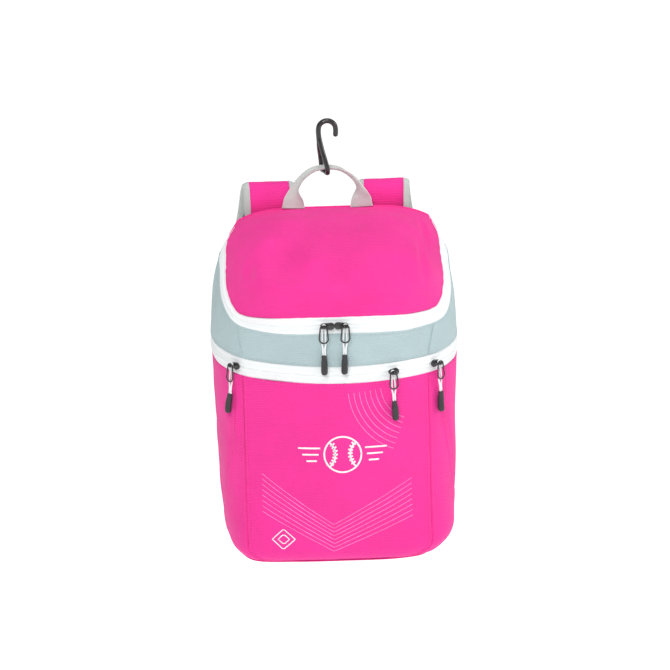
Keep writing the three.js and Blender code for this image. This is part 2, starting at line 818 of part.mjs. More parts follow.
function strapStations(side) {
  const path = strapPath(side);
  return spread(0, 1, strapSteps).map((part) => ({
    ...stationOn(path, part, sideways),
    wide: alongRows(strapRows, part, 'wide'),
    thick: alongRows(strapRows, part, 'thick'),
  }));
}

const padHalf = strapWidth / 2 - bindingWall - gap;

function padOutline(station) {
  const edge = padHalf * station.wide;
  const shoulder = edge - padShoulder;
  const half = (padWall / 2) * station.thick;
  const edgeHalf = (padEdgeWall / 2) * station.thick;
  return [
    new THREE.Vector2(edge, -edgeHalf),
    new THREE.Vector2(edge, edgeHalf),
    new THREE.Vector2(shoulder, half),
    new THREE.Vector2(-shoulder, half),
    new THREE.Vector2(-edge, edgeHalf),
    new THREE.Vector2(-edge, -edgeHalf),
    new THREE.Vector2(-shoulder, -half),
    new THREE.Vector2(shoulder, -half),
  ];
}

function strapPad(side) {
  const stations = strapStations(side);
  return sweep(stations.map(padOutline), stations);
}

// A binding folds over the pad's edge and lies on both of its faces
function bindingOutline(station, edgeSide) {
  const edge = padHalf * station.wide;
  const shoulder = edge - padShoulder;
  const half = (padWall / 2) * station.thick;
  const edgeHalf = (padEdgeWall / 2) * station.thick;
  const slope = (half - edgeHalf) / padShoulder;
  const lift = gap * Math.sqrt(1 + slope ** 2);
  const end = Math.max(shoulder, edge + gap + bindingWall - bindingReach);
  const endHalf = edgeHalf + (edge - end) * slope;
  const inner = [
    new THREE.Vector2(end, endHalf + lift),
    new THREE.Vector2(edge + gap, edgeHalf + lift - gap * slope),
  ];
  const outer = [
    new THREE.Vector2(edge + gap + bindingWall, edgeHalf + lift),
    new THREE.Vector2(edge + gap, edgeHalf + lift + bindingWall),
    new THREE.Vector2(end, endHalf + lift + bindingWall),
  ];
  const flip = (point) => new THREE.Vector2(point.x, -point.y);
  const outline = [
    ...inner,
    ...[...inner].reverse().map(flip),
    ...[...outer].reverse().map(flip),
    ...outer,
  ];
  return outline.map((point) => new THREE.Vector2(point.x * edgeSide, point.y));
}

function strapBinding(side, edgeSide) {
  const stations = strapStations(side);
  return sweep(stations.map((station) => bindingOutline(station, edgeSide)), stations);
}

// The buckle hangs at the strap's lower end, in a frame of its own
const tabDrop = 3 * gap + webbingWall;
const strandOffset = buckleWall / 2 + 2 * gap + webbingWall / 2;

function strapEnd(side) {
  const station = stationOn(strapPath(side), 1, sideways);
  const from = (down, out) => (
    station.at.clone().addScaledVector(station.along, down).addScaledVector(station.out, out)
  );
  return { ...station, from };
}

function buckle(side) {
  const end = strapEnd(side);
  const slotWidth = webbingWidth + 4 * gap;
  const upperSlotTop = buckleBar;
  const middleBar = upperSlotTop + buckleUpperSlot;
  const lowerSlotTop = middleBar + buckleBar;
  const endBar = lowerSlotTop + buckleLowerSlot;
  const outline = rectangle(buckleWidth, -(endBar + buckleBar), 0);
  const holes = [
    rectangle(slotWidth, -middleBar, -upperSlotTop),
    rectangle(slotWidth, -endBar, -lowerSlotTop),
  ];
  const plate = slab(outline, holes, -buckleWall / 2, buckleWall);
  const frame = new THREE.Matrix4().makeBasis(
    end.side.clone().negate(),
    end.out.clone().negate(),
    end.along.clone().negate(),
  );
  return plate.applyMatrix4(frame.setPosition(end.from(tabDrop, 0)));
}

// A flat ribbon with two steps between any two of its points
function ribbonOn(points, across, width, wall) {
  const path = roundCurve(points);
  const stations = spread(0, 1, 2 * (points.length - 1)).map((part) => {
    const along = path.getTangent(part);
    const side = across.clone().addScaledVector(along, -across.dot(along)).normalize();
    return { at: path.getPoint(part), side, out: new THREE.Vector3().crossVectors(side, along) };
  });
  return sweep(stations.map(() => flatOutline(width, wall)), stations);
}

// A turn of webbing round a bar, seen from the side: a half circle past its middle
function turnRound(end, barMiddle, radius, towards) {
  const middle = barMiddle + (towards * buckleBar) / 4;
  return spread(-Math.PI / 2, Math.PI / 2, 4).map((turn) => (
    end.from(middle + towards * radius * Math.cos(turn), radius * Math.sin(turn))
  ));
}

function strapTab(side) {
  const end = strapEnd(side);
  const barMiddle = tabDrop + buckleBar / 2;
  const turn = turnRound(end, barMiddle, strandOffset, 1);
  const points = [end.from(gap, -strandOffset), ...turn, end.from(gap, strandOffset)];
  return ribbonOn(points, end.side, webbingWidth, webbingWall);
}

function strapWebbing(side) {
  const end = strapEnd(side);
  const barMiddle = tabDrop + buckleBar + buckleUpperSlot + buckleBar / 2;
  const turn = turnRound(end, barMiddle, strandOffset, -1);
  const below = tabDrop + 3 * buckleBar + buckleUpperSlot + buckleLowerSlot;
  const seat = gap + webbingWall / 2;
  const anchorAcross = side * (halfWidth * strapRows.at(-1).across + gap);
  const anchor = (height, back) => (
    new THREE.Vector3(anchorAcross + sway(height), back, height)
  );
  const points = [
    anchor(anchorHeight, seat),
    anchor(anchorHeight + anchorLength / 2, seat),
    anchor(anchorHeight + anchorLength, seat + gap),
    anchor(anchorHeight + 2 * anchorLength, seat + strapStandOff * 0.2),
    end.from(below + 4 * buckleBar, -strandOffset - webbingWall),
    end.from(below, -strandOffset),
    ...turn,
    end.from(below, strandOffset),
    end.from(below + tailLength / 2, strandOffset + webbingWall),
    end.from(below + tailLength, strandOffset + 2 * webbingWall),
  ];
  return ribbonOn(points, end.side, webbingWidth, webbingWall);
}

// The grab handle, from its left base over the hook's bar to its right base
function handle() {
  const underside = handleRise + gap + handleWall / 2;
  const half = handleRows.map((row, i) => ({
    across: (row.across * handleSpan) / 2,
    height: bagHeight + (i === 0 ? gap : row.rise * underside),
    wide: row.wide * handleWidth,
    turn: THREE.MathUtils.degToRad(row.turn),
  }));
  const rows = [
    ...half.map((row) => ({ ...row, across: -row.across })),
    ...[...half].reverse().map((row) => ({ ...row, turn: Math.PI - row.turn })),
  ];
  const seat = -(backPanelWall - handleWall / 2 - gap);
  const path = roundCurve(rows.map((row) => (
    new THREE.Vector3(row.across, seat * (row.across * 2 / handleSpan) ** 2, row.height)
  )));
  const steps = 34;
  const backward = new THREE.Vector3(0, 1, 0);
  const stations = spread(0, 1, steps).map((part) => {
    const along = path.getTangent(part);
    const flat = new THREE.Vector3().crossVectors(backward, along).normalize();
    const turn = alongRows(rows, part, 'turn');
    const side = flat.multiplyScalar(Math.cos(turn)).addScaledVector(backward, -Math.sin(turn));
    side.addScaledVector(along, -side.dot(along)).normalize();
    const out = new THREE.Vector3().crossVectors(side, along);
    return { at: path.getPoint(part), side, out, wide: alongRows(rows, part, 'wide') };
  });
  return sweep(stations.map((station) => flatOutline(station.wide, handleWall)), stations);
}

// The hook: a crook on a stem that splits into a loop for the handle to run through
function rod(points, width, steps, sides) {
  const section = new THREE.Shape(spread(0, 2 * Math.PI, sides).slice(0, -1).map((turn) => (
    new THREE.Vector2((width / 2) * Math.cos(turn), (width / 2) * Math.sin(turn))
  )));
  return new THREE.ExtrudeGeometry(section, { extrudePath: roundCurve(points), steps, bevelEnabled: false });
}

function hook() {
  const radius = crookWidth / 2;
  const crookTop = hangHeight + crookRod / 2;
  const centre = crookTop - radius;
  const splitHeight = barTop + hookLegWidth * 6.3;
  const legHalf = hookLegSpread / 2;
  const legLow = barTop - hookLegWidth / 2;
  const tip = new THREE.Vector3(radius, 0, crookTop - crookTip);
  const arc = spread(0, Math.PI, 6).map((turn) => (
    new THREE.Vector3(radius * Math.cos(turn), 0, centre + radius * Math.sin(turn))
  ));
  const split = new THREE.Vector3(-radius * 0.93, 0, splitHeight);
  const crook = rod([tip, ...arc, split], crookRod, 30, 10);
  const end = new THREE.SphereGeometry(crookRod / 2, 10, 6).translate(tip.x, tip.y, tip.z);
  const leg = (across, forward, height) => new THREE.Vector3(across, -forward, height);
  const high = splitHeight + stemSplit * 0.25;
  const loop = rod([
    leg(-radius * 0.95, 0, high),
    leg(-radius * 0.62, legHalf * 0.5, splitHeight - stemSplit * 0.45),
    leg(-radius * 0.3, legHalf * 0.85, splitHeight - stemSplit),
    leg(0, legHalf, legLow + hookLegWidth * 0.8),
    leg(0, legHalf * 0.8, legLow),
    leg(-radius * 0.28, 0, legLow),
    leg(-radius * 0.56, -legHalf * 0.8, legLow),
    leg(-radius * 0.58, -legHalf, legLow + hookLegWidth * 0.8),
    leg(-radius * 0.72, -legHalf * 0.85, splitHeight - stemSplit),
    leg(-radius * 0.88, -legHalf * 0.5, splitHeight - stemSplit * 0.45),
    leg(-radius * 0.95, 0, high),
  ], hookLegWidth, 44, 8);
  return joined([crook, end, loop]);
}

// Assembly
addPiece('front_panel', frontPanel(), 'pink');
addPiece('side_panel_left', sidePanel(-1), 'pink');
addPiece('side_panel_right', sidePanel(1), 'pink');
addPiece('bottom_panel', bottomPanel(), 'pink');
addPiece('back_panel', backPanel(), 'darkMesh');
addPiece('lid', lid(), 'pink');

// Each piece of the band has the upper tape's stations between its two seams
function bandBetween(from, to) {
  const inside = rimShares.filter((share) => share > from && share < to);
  return band([from, ...inside, to]);
}

addPiece('band_front', bandBetween(seamHalf - upperSeamShare, bandSeamRight - seamHalf), 'greyBlue');
addPiece('band_left', bandBetween(-1, -upperSeamShare - seamHalf), 'greyBlue');
addPiece('band_right', bandBetween(bandSeamRight + seamHalf, 1), 'greyBlue');

addPiece('zip_tape_upper', tape(rimShares, upperZipPoint, zipAway), 'white');
const lowerTapeSteps = 15;
const lowerTape = (from, to) => tape(spread(from, to, lowerTapeSteps), lowerZipPoint, lowerZipAway);
addPiece('zip_tape_front', lowerTape(seamHalf - seamLeft, seamRight - seamHalf), 'white');
addPiece('zip_tape_left', lowerTape(-1, -seamLeft - seamHalf), 'white');
addPiece('zip_tape_right', lowerTape(seamRight + seamHalf, 1), 'white');
placePulls();

for (const [label, side] of [['left', -1], ['right', 1]]) {
  addPiece(`strap_pad_${label}`, strapPad(side), 'pink');
  addPiece(`strap_binding_${label}_outer`, strapBinding(side, side), 'lightGrey');
  addPiece(`strap_binding_${label}_inner`, strapBinding(side, -side), 'lightGrey');
  addPiece(`ladder_lock_${label}`, buckle(side), 'black');
  addPiece(`strap_tab_${label}`, strapTab(side), 'lightGrey');
  addPiece(`strap_webbing_${label}`, strapWebbing(side), 'lightGrey');
}
addPiece('handle', handle(), 'lightGrey');
addPiece('hook', hook(), 'black');

const whole = new THREE.Group();
whole.add(bag);
export default whole;
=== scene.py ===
import math

import bmesh
import bpy
import numpy as np
from mathutils import Matrix, Vector


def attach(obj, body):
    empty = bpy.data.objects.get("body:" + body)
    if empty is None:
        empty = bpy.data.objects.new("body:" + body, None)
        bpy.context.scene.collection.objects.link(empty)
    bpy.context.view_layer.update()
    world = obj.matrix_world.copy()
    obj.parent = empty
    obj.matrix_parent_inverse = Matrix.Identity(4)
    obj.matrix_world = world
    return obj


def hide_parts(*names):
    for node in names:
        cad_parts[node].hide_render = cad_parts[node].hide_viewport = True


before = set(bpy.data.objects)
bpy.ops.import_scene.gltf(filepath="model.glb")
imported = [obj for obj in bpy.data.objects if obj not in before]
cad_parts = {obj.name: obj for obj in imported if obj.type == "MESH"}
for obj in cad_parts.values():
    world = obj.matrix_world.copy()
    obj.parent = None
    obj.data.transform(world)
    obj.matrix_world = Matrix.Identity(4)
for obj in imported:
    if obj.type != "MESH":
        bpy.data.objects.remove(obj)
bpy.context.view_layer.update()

# Sizes of the bag in millimetres. They are the solids' own, but for the straps' first rows
# and edge tape, the handle's width and the lid's dents. The bag's own frame has its origin
# at the base, under the handle, and the scene's is at the hook's crook.
MM = 0.001
BAG_WIDTH = 330
BAG_DEPTH = 205
BAG_HEIGHT = 440
LOWER_ZIP = 271
UPPER_ZIP = 343
BASE_RADIUS = 24
BASE_RADIUS_RIGHT = 44
CORNER_RADIUS = 30
RIGHT_SEAM_INSET = 13.5
SWAY = 8
CLOTH = 2.0
BASE_WALL = 2.5
BACK_WALL = 9.7
GAP = 0.3
PLEAT_DEPTH = 4
DENT_DEPTH = 7
BULGE_LEFT = 4
BULGE_RIGHT = 2
TAPE_WIDTH = 24
TAPE_WALL = 1.4
COIL_RISE = 1
SLIDER_LENGTH = 15
SLIDER_HEIGHT = 10
SLIDER_TAIL = 4.5
SLIDER_WALL = 3
NECK = 3
RING_WIDTH = 14
RING_HEIGHT = 27
RING_RIM = 2
CORD_STRAND = 2.4
CORD_LOOP = 6
CORD_HEIGHT = 45
GRIP_WIDTH = 9
GRIP_HEIGHT = 28.5
STRAP_WIDTH = 69
PAD_WALL = 10.4
PAD_EDGE = 5.2
PAD_SHOULDER = 10
BINDING_WALL = 1.3
BINDING_REACH = 7.5
STAND_OFF = 38
WEBBING_WIDTH = 25
WEBBING_WALL = 1.6
BUCKLE_WIDTH = 36
BUCKLE_WALL = 4
BUCKLE_BAR = 3.5
UPPER_SLOT = 7.5
LOWER_SLOT = 5
TAIL_LENGTH = 80
ANCHOR_HEIGHT = 22
ANCHOR_LENGTH = 28
HANDLE_SPAN = 92
HANDLE_RISE = 52.3
HANDLE_WIDTH = 31
HANDLE_WALL = 2
LEG_SPREAD = 21
LEG_WIDTH = 6.4
HOOK_REACH = 64.5
CROOK_WIDTH = 23
CROOK_ROD = 7.6
CROOK_TIP = 23
STEM_SPLIT = 24

HALF_WIDTH = BAG_WIDTH / 2
BACK_SEAT = BACK_WALL + GAP
DEPTH_RANGE = BAG_DEPTH - BACK_SEAT
LID_RISE = BAG_HEIGHT - UPPER_ZIP
BAR_TOP = BAG_HEIGHT + HANDLE_RISE
HANG = BAR_TOP + HOOK_REACH
TAPE_HALF = TAPE_WIDTH / 2
WALL_TOP = LOWER_ZIP - TAPE_HALF
BAND_BOTTOM = LOWER_ZIP + TAPE_HALF
UP = np.array([0.0, 0.0, 1.0])
MIDDLE = np.array([0.0, -100.0, 220.0])

# Half of the bag's plan: across and forward at the lower zip, then at the boxier base
PLAN_ROWS = [
    (0, 1, 0, 1.005),
    (0.424, 0.938, 0.424, 0.998),
    (0.794, 0.769, 0.79, 0.95),
    (0.952, 0.554, 0.892, 0.79),
    (1, 0.354, 0.918, 0.5),
    (0.988, 0.154, 0.918, 0.2),
    (0.909, 0, 0.9, 0),
]
SEAM_LEFT = 2 / (len(PLAN_ROWS) - 1)
LEVEL_HEIGHTS = [0, 0.12, 0.25, 0.35, 0.53, 0.69, 0.95, 1.1]
LEVEL_BOXY = [1, 0.93, 0.62, 0.5, 0.42, 0.28, 0.03, -0.03]

# The upper zip's line: across on the right and on the left, forward, rise, lean in
# degrees, and the tape's width that shows on the left and on the right
UPPER_ROWS = [
    (0, 0, 1, 0, 2, 1, 1),
    (0.424, 0.424, 0.959, -0.02, 6, 0.98, 0.99),
    (0.63, 0.63, 0.872, -0.03, 12, 0.85, 0.88),
    (0.83, 0.83, 0.744, 0.02, 20, 0.62, 0.76),
    (0.902, 0.9, 0.59, 0.216, 28, 0.62, 0.9),
    (0.913, 0.892, 0.354, 0.464, 31, 0.66, 1),
    (0.913, 0.873, 0.179, 0.61, 31, 0.8, 1),
    (0.86, 0.775, 0, 0.73, 30, 1, 1),
]
UPPER_SEAM = 0.455
BAND_SEAM_RIGHT = UPPER_SEAM * math.sin(math.pi / 2 * 0.75)
LID_ROWS = [
    (0, 1), (0.205, 0.99), (0.46, 0.907), (0.718, 0.763), (0.923, 0.536), (0.974, 0.33), (0.992, 0.128),
]
LID_CROWN = 4.6

# Soft dents of the lid: across, along, reach across, reach along, share of the depth
LID_DENTS = [
    (-0.5, 0.5, 0.3, 0.2, 1.5), (-0.2, 0.6, 0.36, 0.12, 0.7), (0.55, 0.6, 0.3, 0.16, 0.6),
    (-0.8, 0.56, 0.07, 0.1, 0.5), (0.86, 0.3, 0.05, 0.22, 0.4), (0.8, 0.5, 0.06, 0.25, 0.45),
]

# Slanting pleat of a side: height, share of the plan, share of the depth
PLEAT_ROWS = [
    (0, 0.61, 0), (0.2, 0.6, 0), (0.33, 0.5, 0.7), (0.55, 0.43, 1),
    (0.7, 0.395, 0.9), (0.84, 0.385, 0.5), (1, 0.385, 0.2),
]

# Shoulder strap: across, back, height, width, thickness
STRAP_ROWS = [
    (0.46, 0.1, 0.962, 1, 0.55),
    (0.463, 0.13, 1.022, 1, 0.9),
    (0.47, 0.38, 1.058, 1, 1),
    (0.48, 0.78, 1.027, 1, 1),
    (0.5, 0.95, 0.96, 1, 1),
    (0.55, 1, 0.86, 1, 1),
    (0.62, 1, 0.727, 1, 1),
    (0.69, 0.95, 0.591, 0.98, 1),
    (0.74, 0.86, 0.477, 0.9, 0.9),
    (0.765, 0.76, 0.395, 0.72, 0.8),
]

# Half of the handle: across, rise, width and turn in degrees
HANDLE_ROWS = [
    (1, 0, 1, 0), (0.99, 0.24, 0.85, 8), (0.93, 0.52, 0.42, 52),
    (0.74, 0.76, 0.34, 66), (0.42, 0.95, 0.42, 82), (0.14, 1.0, 0.43, 90),
]

# Zip pulls: name, zip, share along it, nose direction, swing, lift and bend of the grip
PULLS = [
    ("1", "upper", -0.073, 1, -1, 0, 0),
    ("2", "upper", 0.016, -1, 1, 0, 0),
    ("3", "lower", 0.155, 1, -3, 1, 0.6),
    ("4", "lower", -0.378, 1, 2, 2.5, -2.2),
    ("5", "lower", 0.324, -1, -1, 4, -1.6),
]


# Numbers and curves
def smoothstep(value, low, high):
    part = np.clip((np.asarray(value, float) - low) / (high - low), 0, 1)
    return part * part * (3 - 2 * part)


def bump(distance, reach):
    """A rounded bump of height 1 at distance 0."""
    return np.exp(-(np.asarray(distance, float) / reach) ** 2)


def unit(vectors):
    return vectors / np.maximum(np.linalg.norm(vectors, axis=-1, keepdims=True), 1e-12)


def square_to(across, along):
    """Directions made square to others, and of length 1."""
    return unit(across - along * (across * along).sum(-1, keepdims=True))


def run_along(points):
    """Distances along a line of points from its start."""
    return np.concatenate([[0], np.cumsum(np.linalg.norm(np.diff(points, axis=0), axis=1))])


def softened(places, values, reach):
    """A table's values between its rows, with its corners rounded over the reach."""
    fine = np.linspace(places[0], places[-1], 600)
    raw = np.interp(fine, places, values)
    half = int(3 * reach / (fine[1] - fine[0])) + 1
    kernel = bump(np.arange(-half, half + 1) * (fine[1] - fine[0]), reach)
    padded = np.concatenate([np.full(half, raw[0]), raw, np.full(half, raw[-1])])
    smooth = np.convolve(padded, kernel / kernel.sum(), "valid")
    return lambda at: np.interp(at, fine, smooth)


def ripple(points, seed, length, waves=8):
    """Soft unevenness from about -1 to 1 at points in mm, with bumps about the length across."""
    draw = np.random.default_rng(seed)
    total = 0
    for _ in range(waves):
        direction = unit(draw.normal(size=3))
        size = length * draw.uniform(0.7, 1.7)
        total = total + np.sin(points @ direction * (2 * math.pi / size) + draw.uniform(0, 2 * math.pi))
    return total / math.sqrt(waves) / 1.2


class RoundCurve:
    """A smooth curve through its points. Their spacing sets how it rounds."""

    def __init__(self, points):
        points = np.array(points, float)
        self.count = len(points)
        ends = [2 * points[0] - points[1], *points, 2 * points[-1] - points[-2]]
        self.points = np.array(ends)
        self.gaps = np.sqrt(np.linalg.norm(np.diff(self.points, axis=0), axis=1))
        fine = np.linspace(0, 1, 1201)
        self.reach = run_along(self.point(fine))
        self.fine = fine
        self.length = self.reach[-1]

    def point(self, part):
        place = np.clip(np.asarray(part, float), 0, 1) * (self.count - 1)
        first = np.minimum(place.astype(int), self.count - 2)
        w = (place - first)[..., None]
        p0, p1, p2, p3 = (self.points[first + i] for i in range(4))
        d0, d1, d2 = (self.gaps[first + i][..., None] for i in range(3))
        t1 = ((p1 - p0) / d0 - (p2 - p0) / (d0 + d1) + (p2 - p1) / d1) * d1
        t2 = ((p2 - p1) / d1 - (p3 - p1) / (d1 + d2) + (p3 - p2) / d2) * d1
        return p1 + t1 * w + (3 * (p2 - p1) - 2 * t1 - t2) * w**2 + (2 * (p1 - p2) + t1 + t2) * w**3

    def tangent(self, part):
        part = np.asarray(part, float)
        return unit(self.point(part + 1e-4) - self.point(part - 1e-4))

    def part_at(self, share):
        """The part of the curve at a share of its length."""
        return np.interp(np.asarray(share, float) * self.length, self.reach, self.fine)


def mirrored(rows):
    return [(-row[0], *row[1:]) for row in reversed(rows[1:])] + list(rows)


def spaced(length, coarse, fine=0.7, growth=1.35):
    """Places from 0 to the length, close together at both ends."""
    step = fine
    ends = [0.0]
    while step < coarse and ends[-1] + step < length * 0.4:
        ends.append(ends[-1] + step)
        step *= growth
    inside = length - 2 * ends[-1]
    middle = np.linspace(ends[-1], length - ends[-1], max(2, round(inside / coarse)) + 1)
    return np.concatenate([ends[:-1], middle, [length - end for end in reversed(ends[:-1])]])


# The bag's surfaces, in the bag's own frame
def sway(height):
    return SWAY * np.maximum(0, 1 - height / BAG_HEIGHT) ** 0.8


def plan_row(across, forward):
    return (across * HALF_WIDTH, -(BACK_SEAT + forward * DEPTH_RANGE), 0)


plan_curve = RoundCurve([plan_row(row[0], row[1]) for row in mirrored(PLAN_ROWS)])
base_curve = RoundCurve([
    plan_row(math.copysign(row[2], row[0]), row[3]) for row in mirrored(PLAN_ROWS)
])
PLAN_HALF = plan_curve.length / 2
SEAM_RIGHT = SEAM_LEFT - RIGHT_SEAM_INSET / PLAN_HALF
boxy_at = softened(LEVEL_HEIGHTS, LEVEL_BOXY, 0.035)
pleat_heights, pleat_shares, pleat_depths = zip(*PLEAT_ROWS)
pleat_share = softened(pleat_heights, pleat_shares, 0.03)
pleat_depth = softened(pleat_heights, pleat_depths, 0.04)


def curve_part(share):
    return np.clip((np.asarray(share, float) + 1) / 2, 0, 1)


def plan_away(share, height):
    part = curve_part(share)
    boxy = boxy_at(np.asarray(height) / LOWER_ZIP)[..., None]
    along = plan_curve.tangent(part) * (1 - boxy) + base_curve.tangent(part) * boxy
    return unit(np.stack([along[..., 1], -along[..., 0], 0 * along[..., 0]], -1))


def base_radius(share):
    part = smoothstep(share, SEAM_RIGHT / 2, SEAM_RIGHT * 1.5)
    return BASE_RADIUS + (BASE_RADIUS_RIGHT - BASE_RADIUS) * part


def wall_point(share, height):
    share, height = np.broadcast_arrays(np.asarray(share, float), np.asarray(height, float))
    part = curve_part(share)
    boxy = boxy_at(height / LOWER_ZIP)[..., None]
    plan = plan_curve.point(part) * (1 - boxy) + base_curve.point(part) * boxy
    radius = base_radius(share)
    below = np.maximum(0, radius - height)
    inset = radius - np.sqrt(radius**2 - below**2)
    x = plan[..., 0] * (1 - inset / HALF_WIDTH) + sway(height)
    y = -BACK_SEAT + (plan[..., 1] + BACK_SEAT) * (1 - inset / DEPTH_RANGE)
    return np.stack([x, y, height], -1)


def seam_share(side, height):
    below = np.maximum(0, CORNER_RADIUS - height) / CORNER_RADIUS
    middle = SEAM_LEFT if side < 0 else SEAM_RIGHT
    return middle - CORNER_RADIUS / PLAN_HALF * (1 - np.sqrt(1 - below**2))


def upper_row(across, forward, rise):
    height = UPPER_ZIP + rise * LID_RISE
    return (across * HALF_WIDTH + sway(height), -(BACK_SEAT + forward * DEPTH_RANGE), height)


upper_curve = RoundCurve(
    [upper_row(-left, *row) for _, left, *row in [row[:4] for row in reversed(UPPER_ROWS[1:])]]
    + [upper_row(right, *row) for right, _, *row in [row[:4] for row in UPPER_ROWS]]
)
upper_shares = np.linspace(0, 1, len(UPPER_ROWS))
lean_at = softened(upper_shares, np.radians([row[4] for row in UPPER_ROWS]), 0.03)
width_left = softened(upper_shares, [row[5] for row in UPPER_ROWS], 0.03)
width_right = softened(upper_shares, [row[6] for row in UPPER_ROWS], 0.03)


def zip_inward(share):
    turn = smoothstep(np.abs(share), 0.15, 0.66) * (math.pi / 2)
    return np.stack([-np.sign(share) * np.sin(turn), np.cos(turn), 0 * turn], -1)


def zip_across(share):
    lean = lean_at(np.abs(share))[..., None]
    return UP * np.cos(lean) + zip_inward(share) * np.sin(lean)


def zip_away(share):
    lean = lean_at(np.abs(share))[..., None]
    return -zip_inward(share) * np.cos(lean) + UP * np.sin(lean)


def upper_point(share, offset):
    share, offset = np.broadcast_arrays(np.asarray(share, float), np.asarray(offset, float))
    width = np.where(share < 0, width_left(np.abs(share)), width_right(np.abs(share)))
    reach = (offset + TAPE_HALF) * width - TAPE_HALF
    return upper_curve.point(upper_curve.part_at(curve_part(share))) + zip_across(share) * reach[..., None]


def lower_share(share):
    size = np.abs(share)
    above = np.where(share < 0, UPPER_SEAM, BAND_SEAM_RIGHT)
    below = np.where(share < 0, SEAM_LEFT, SEAM_RIGHT)
    outside = below + (size - above) / (1 - above) * (1 - below)
    return np.sign(share) * np.where(size < above, size / above * below, outside)


def band_away(share, part):
    low = plan_away(lower_share(share), np.full_like(share, BAND_BOTTOM))
    return unit(low * (1 - part[..., None]) + zip_away(share) * part[..., None])


def band_point(share, part):
    share, part = np.broadcast_arrays(np.asarray(share, float), np.asarray(part, float))
    low = wall_point(lower_share(share), BAND_BOTTOM)
    high = upper_point(share, -TAPE_HALF)
    bulge = np.where(share < 0, BULGE_LEFT, BULGE_RIGHT)
    swell = bulge * smoothstep(np.abs(share), 0.3, 0.8) * np.sin(math.pi * part)
    point = low + (high - low) * part[..., None] + band_away(share, part) * swell[..., None]
    edge = np.abs(share) > 0.9999
    point[..., 1] = np.where(edge, -BACK_SEAT, point[..., 1])
    return point


lid_curve = RoundCurve([
    (0, -(BACK_SEAT + forward * DEPTH_RANGE), UPPER_ZIP + rise * LID_RISE) for forward, rise in LID_ROWS
])


def lid_point(across, along):
    across, along = np.broadcast_arrays(np.asarray(across, float), np.asarray(along, float))
    share = 1 + (UPPER_SEAM - 1) * along
    left = upper_point(-share, TAPE_HALF)
    right = upper_point(share, TAPE_HALF)
    part = ((across + 1) / 2)[..., None]
    middle = (left + right) / 2
    crown = lid_curve.point(along) - middle
    crown[..., 0] = 0
    at_front = (along**8)[..., None]
    hump = (1 - np.abs(across) ** LID_CROWN)[..., None]
    ends = upper_point(np.array([-UPPER_SEAM, UPPER_SEAM]), TAPE_HALF)
    bow = upper_point(across * UPPER_SEAM, TAPE_HALF) - (ends[0] + (ends[1] - ends[0]) * part)
    return left + (right - left) * part + crown * hump * (1 - at_front) + bow * at_front


# Meshes. Points are in the bag's frame in mm until they become a mesh.
def to_scene(points):
    return (np.asarray(points, float) - UP * HANG) * MM


def new_object(name, points, faces, materials, replaces=(), uvs=None, sharp=None):
    """A mesh object from points in mm. uvs is one pair in metres for each point."""
    mesh = bpy.data.meshes.new(name)
    mesh.from_pydata([tuple(p) for p in to_scene(points)], [], [tuple(int(i) for i in f) for f in faces])
    if uvs is not None:
        layer = mesh.uv_layers.new(name="cloth")
        corners = np.array([loop.vertex_index for loop in mesh.loops])
        layer.data.foreach_set("uv", np.asarray(uvs, np.float32)[corners].ravel())
    tidy = bmesh.new()
    tidy.from_mesh(mesh)
    bmesh.ops.recalc_face_normals(tidy, faces=tidy.faces)
    tidy.to_mesh(mesh)
    tidy.free()
    mesh.shade_smooth()
    if sharp:
        mesh.set_sharp_from_angle(angle=math.radians(sharp))
    piece = bpy.data.objects.new(name, mesh)
    bpy.context.scene.collection.objects.link(piece)
    for material in materials if isinstance(materials, list) else [materials]:
        mesh.materials.append(material)
    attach(piece, "root")
    if replaces:
        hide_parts(*replaces)
    return piece


def grid_faces(rows, columns, start=0, closed=False):
    """Four-sided faces of a grid of points. A closed grid joins its last column to its first."""
    index = np.arange(rows * columns).reshape(rows, columns) + start
    if closed:
        index = np.hstack([index, index[:, :1]])
    faces = np.stack([index[:-1, :-1], index[:-1, 1:], index[1:, 1:], index[1:, :-1]], -1)
    return faces.reshape(-1, 4).tolist()


def tube_faces(rows, columns):
    """The faces of a row of rings with a flat lid at each end."""
    lids = [tuple(range(columns)), tuple(range((rows - 1) * columns, rows * columns))]
    return grid_faces(rows, columns, closed=True) + lids


def shell_faces(rows, columns):
    """The faces of an outer and an inner grid that are joined round the rim, and the rim's points."""
    count = rows * columns
    index = np.arange(count).reshape(rows, columns)
    rim = np.concatenate([index[0, :-1], index[:-1, -1], index[-1, :0:-1], index[:0:-1, 0]])
    joined = [(a, b, b + count, a + count) for a, b in zip(rim, np.roll(rim, -1))]
    return grid_faces(rows, columns) + grid_faces(rows, columns, count) + joined, rim


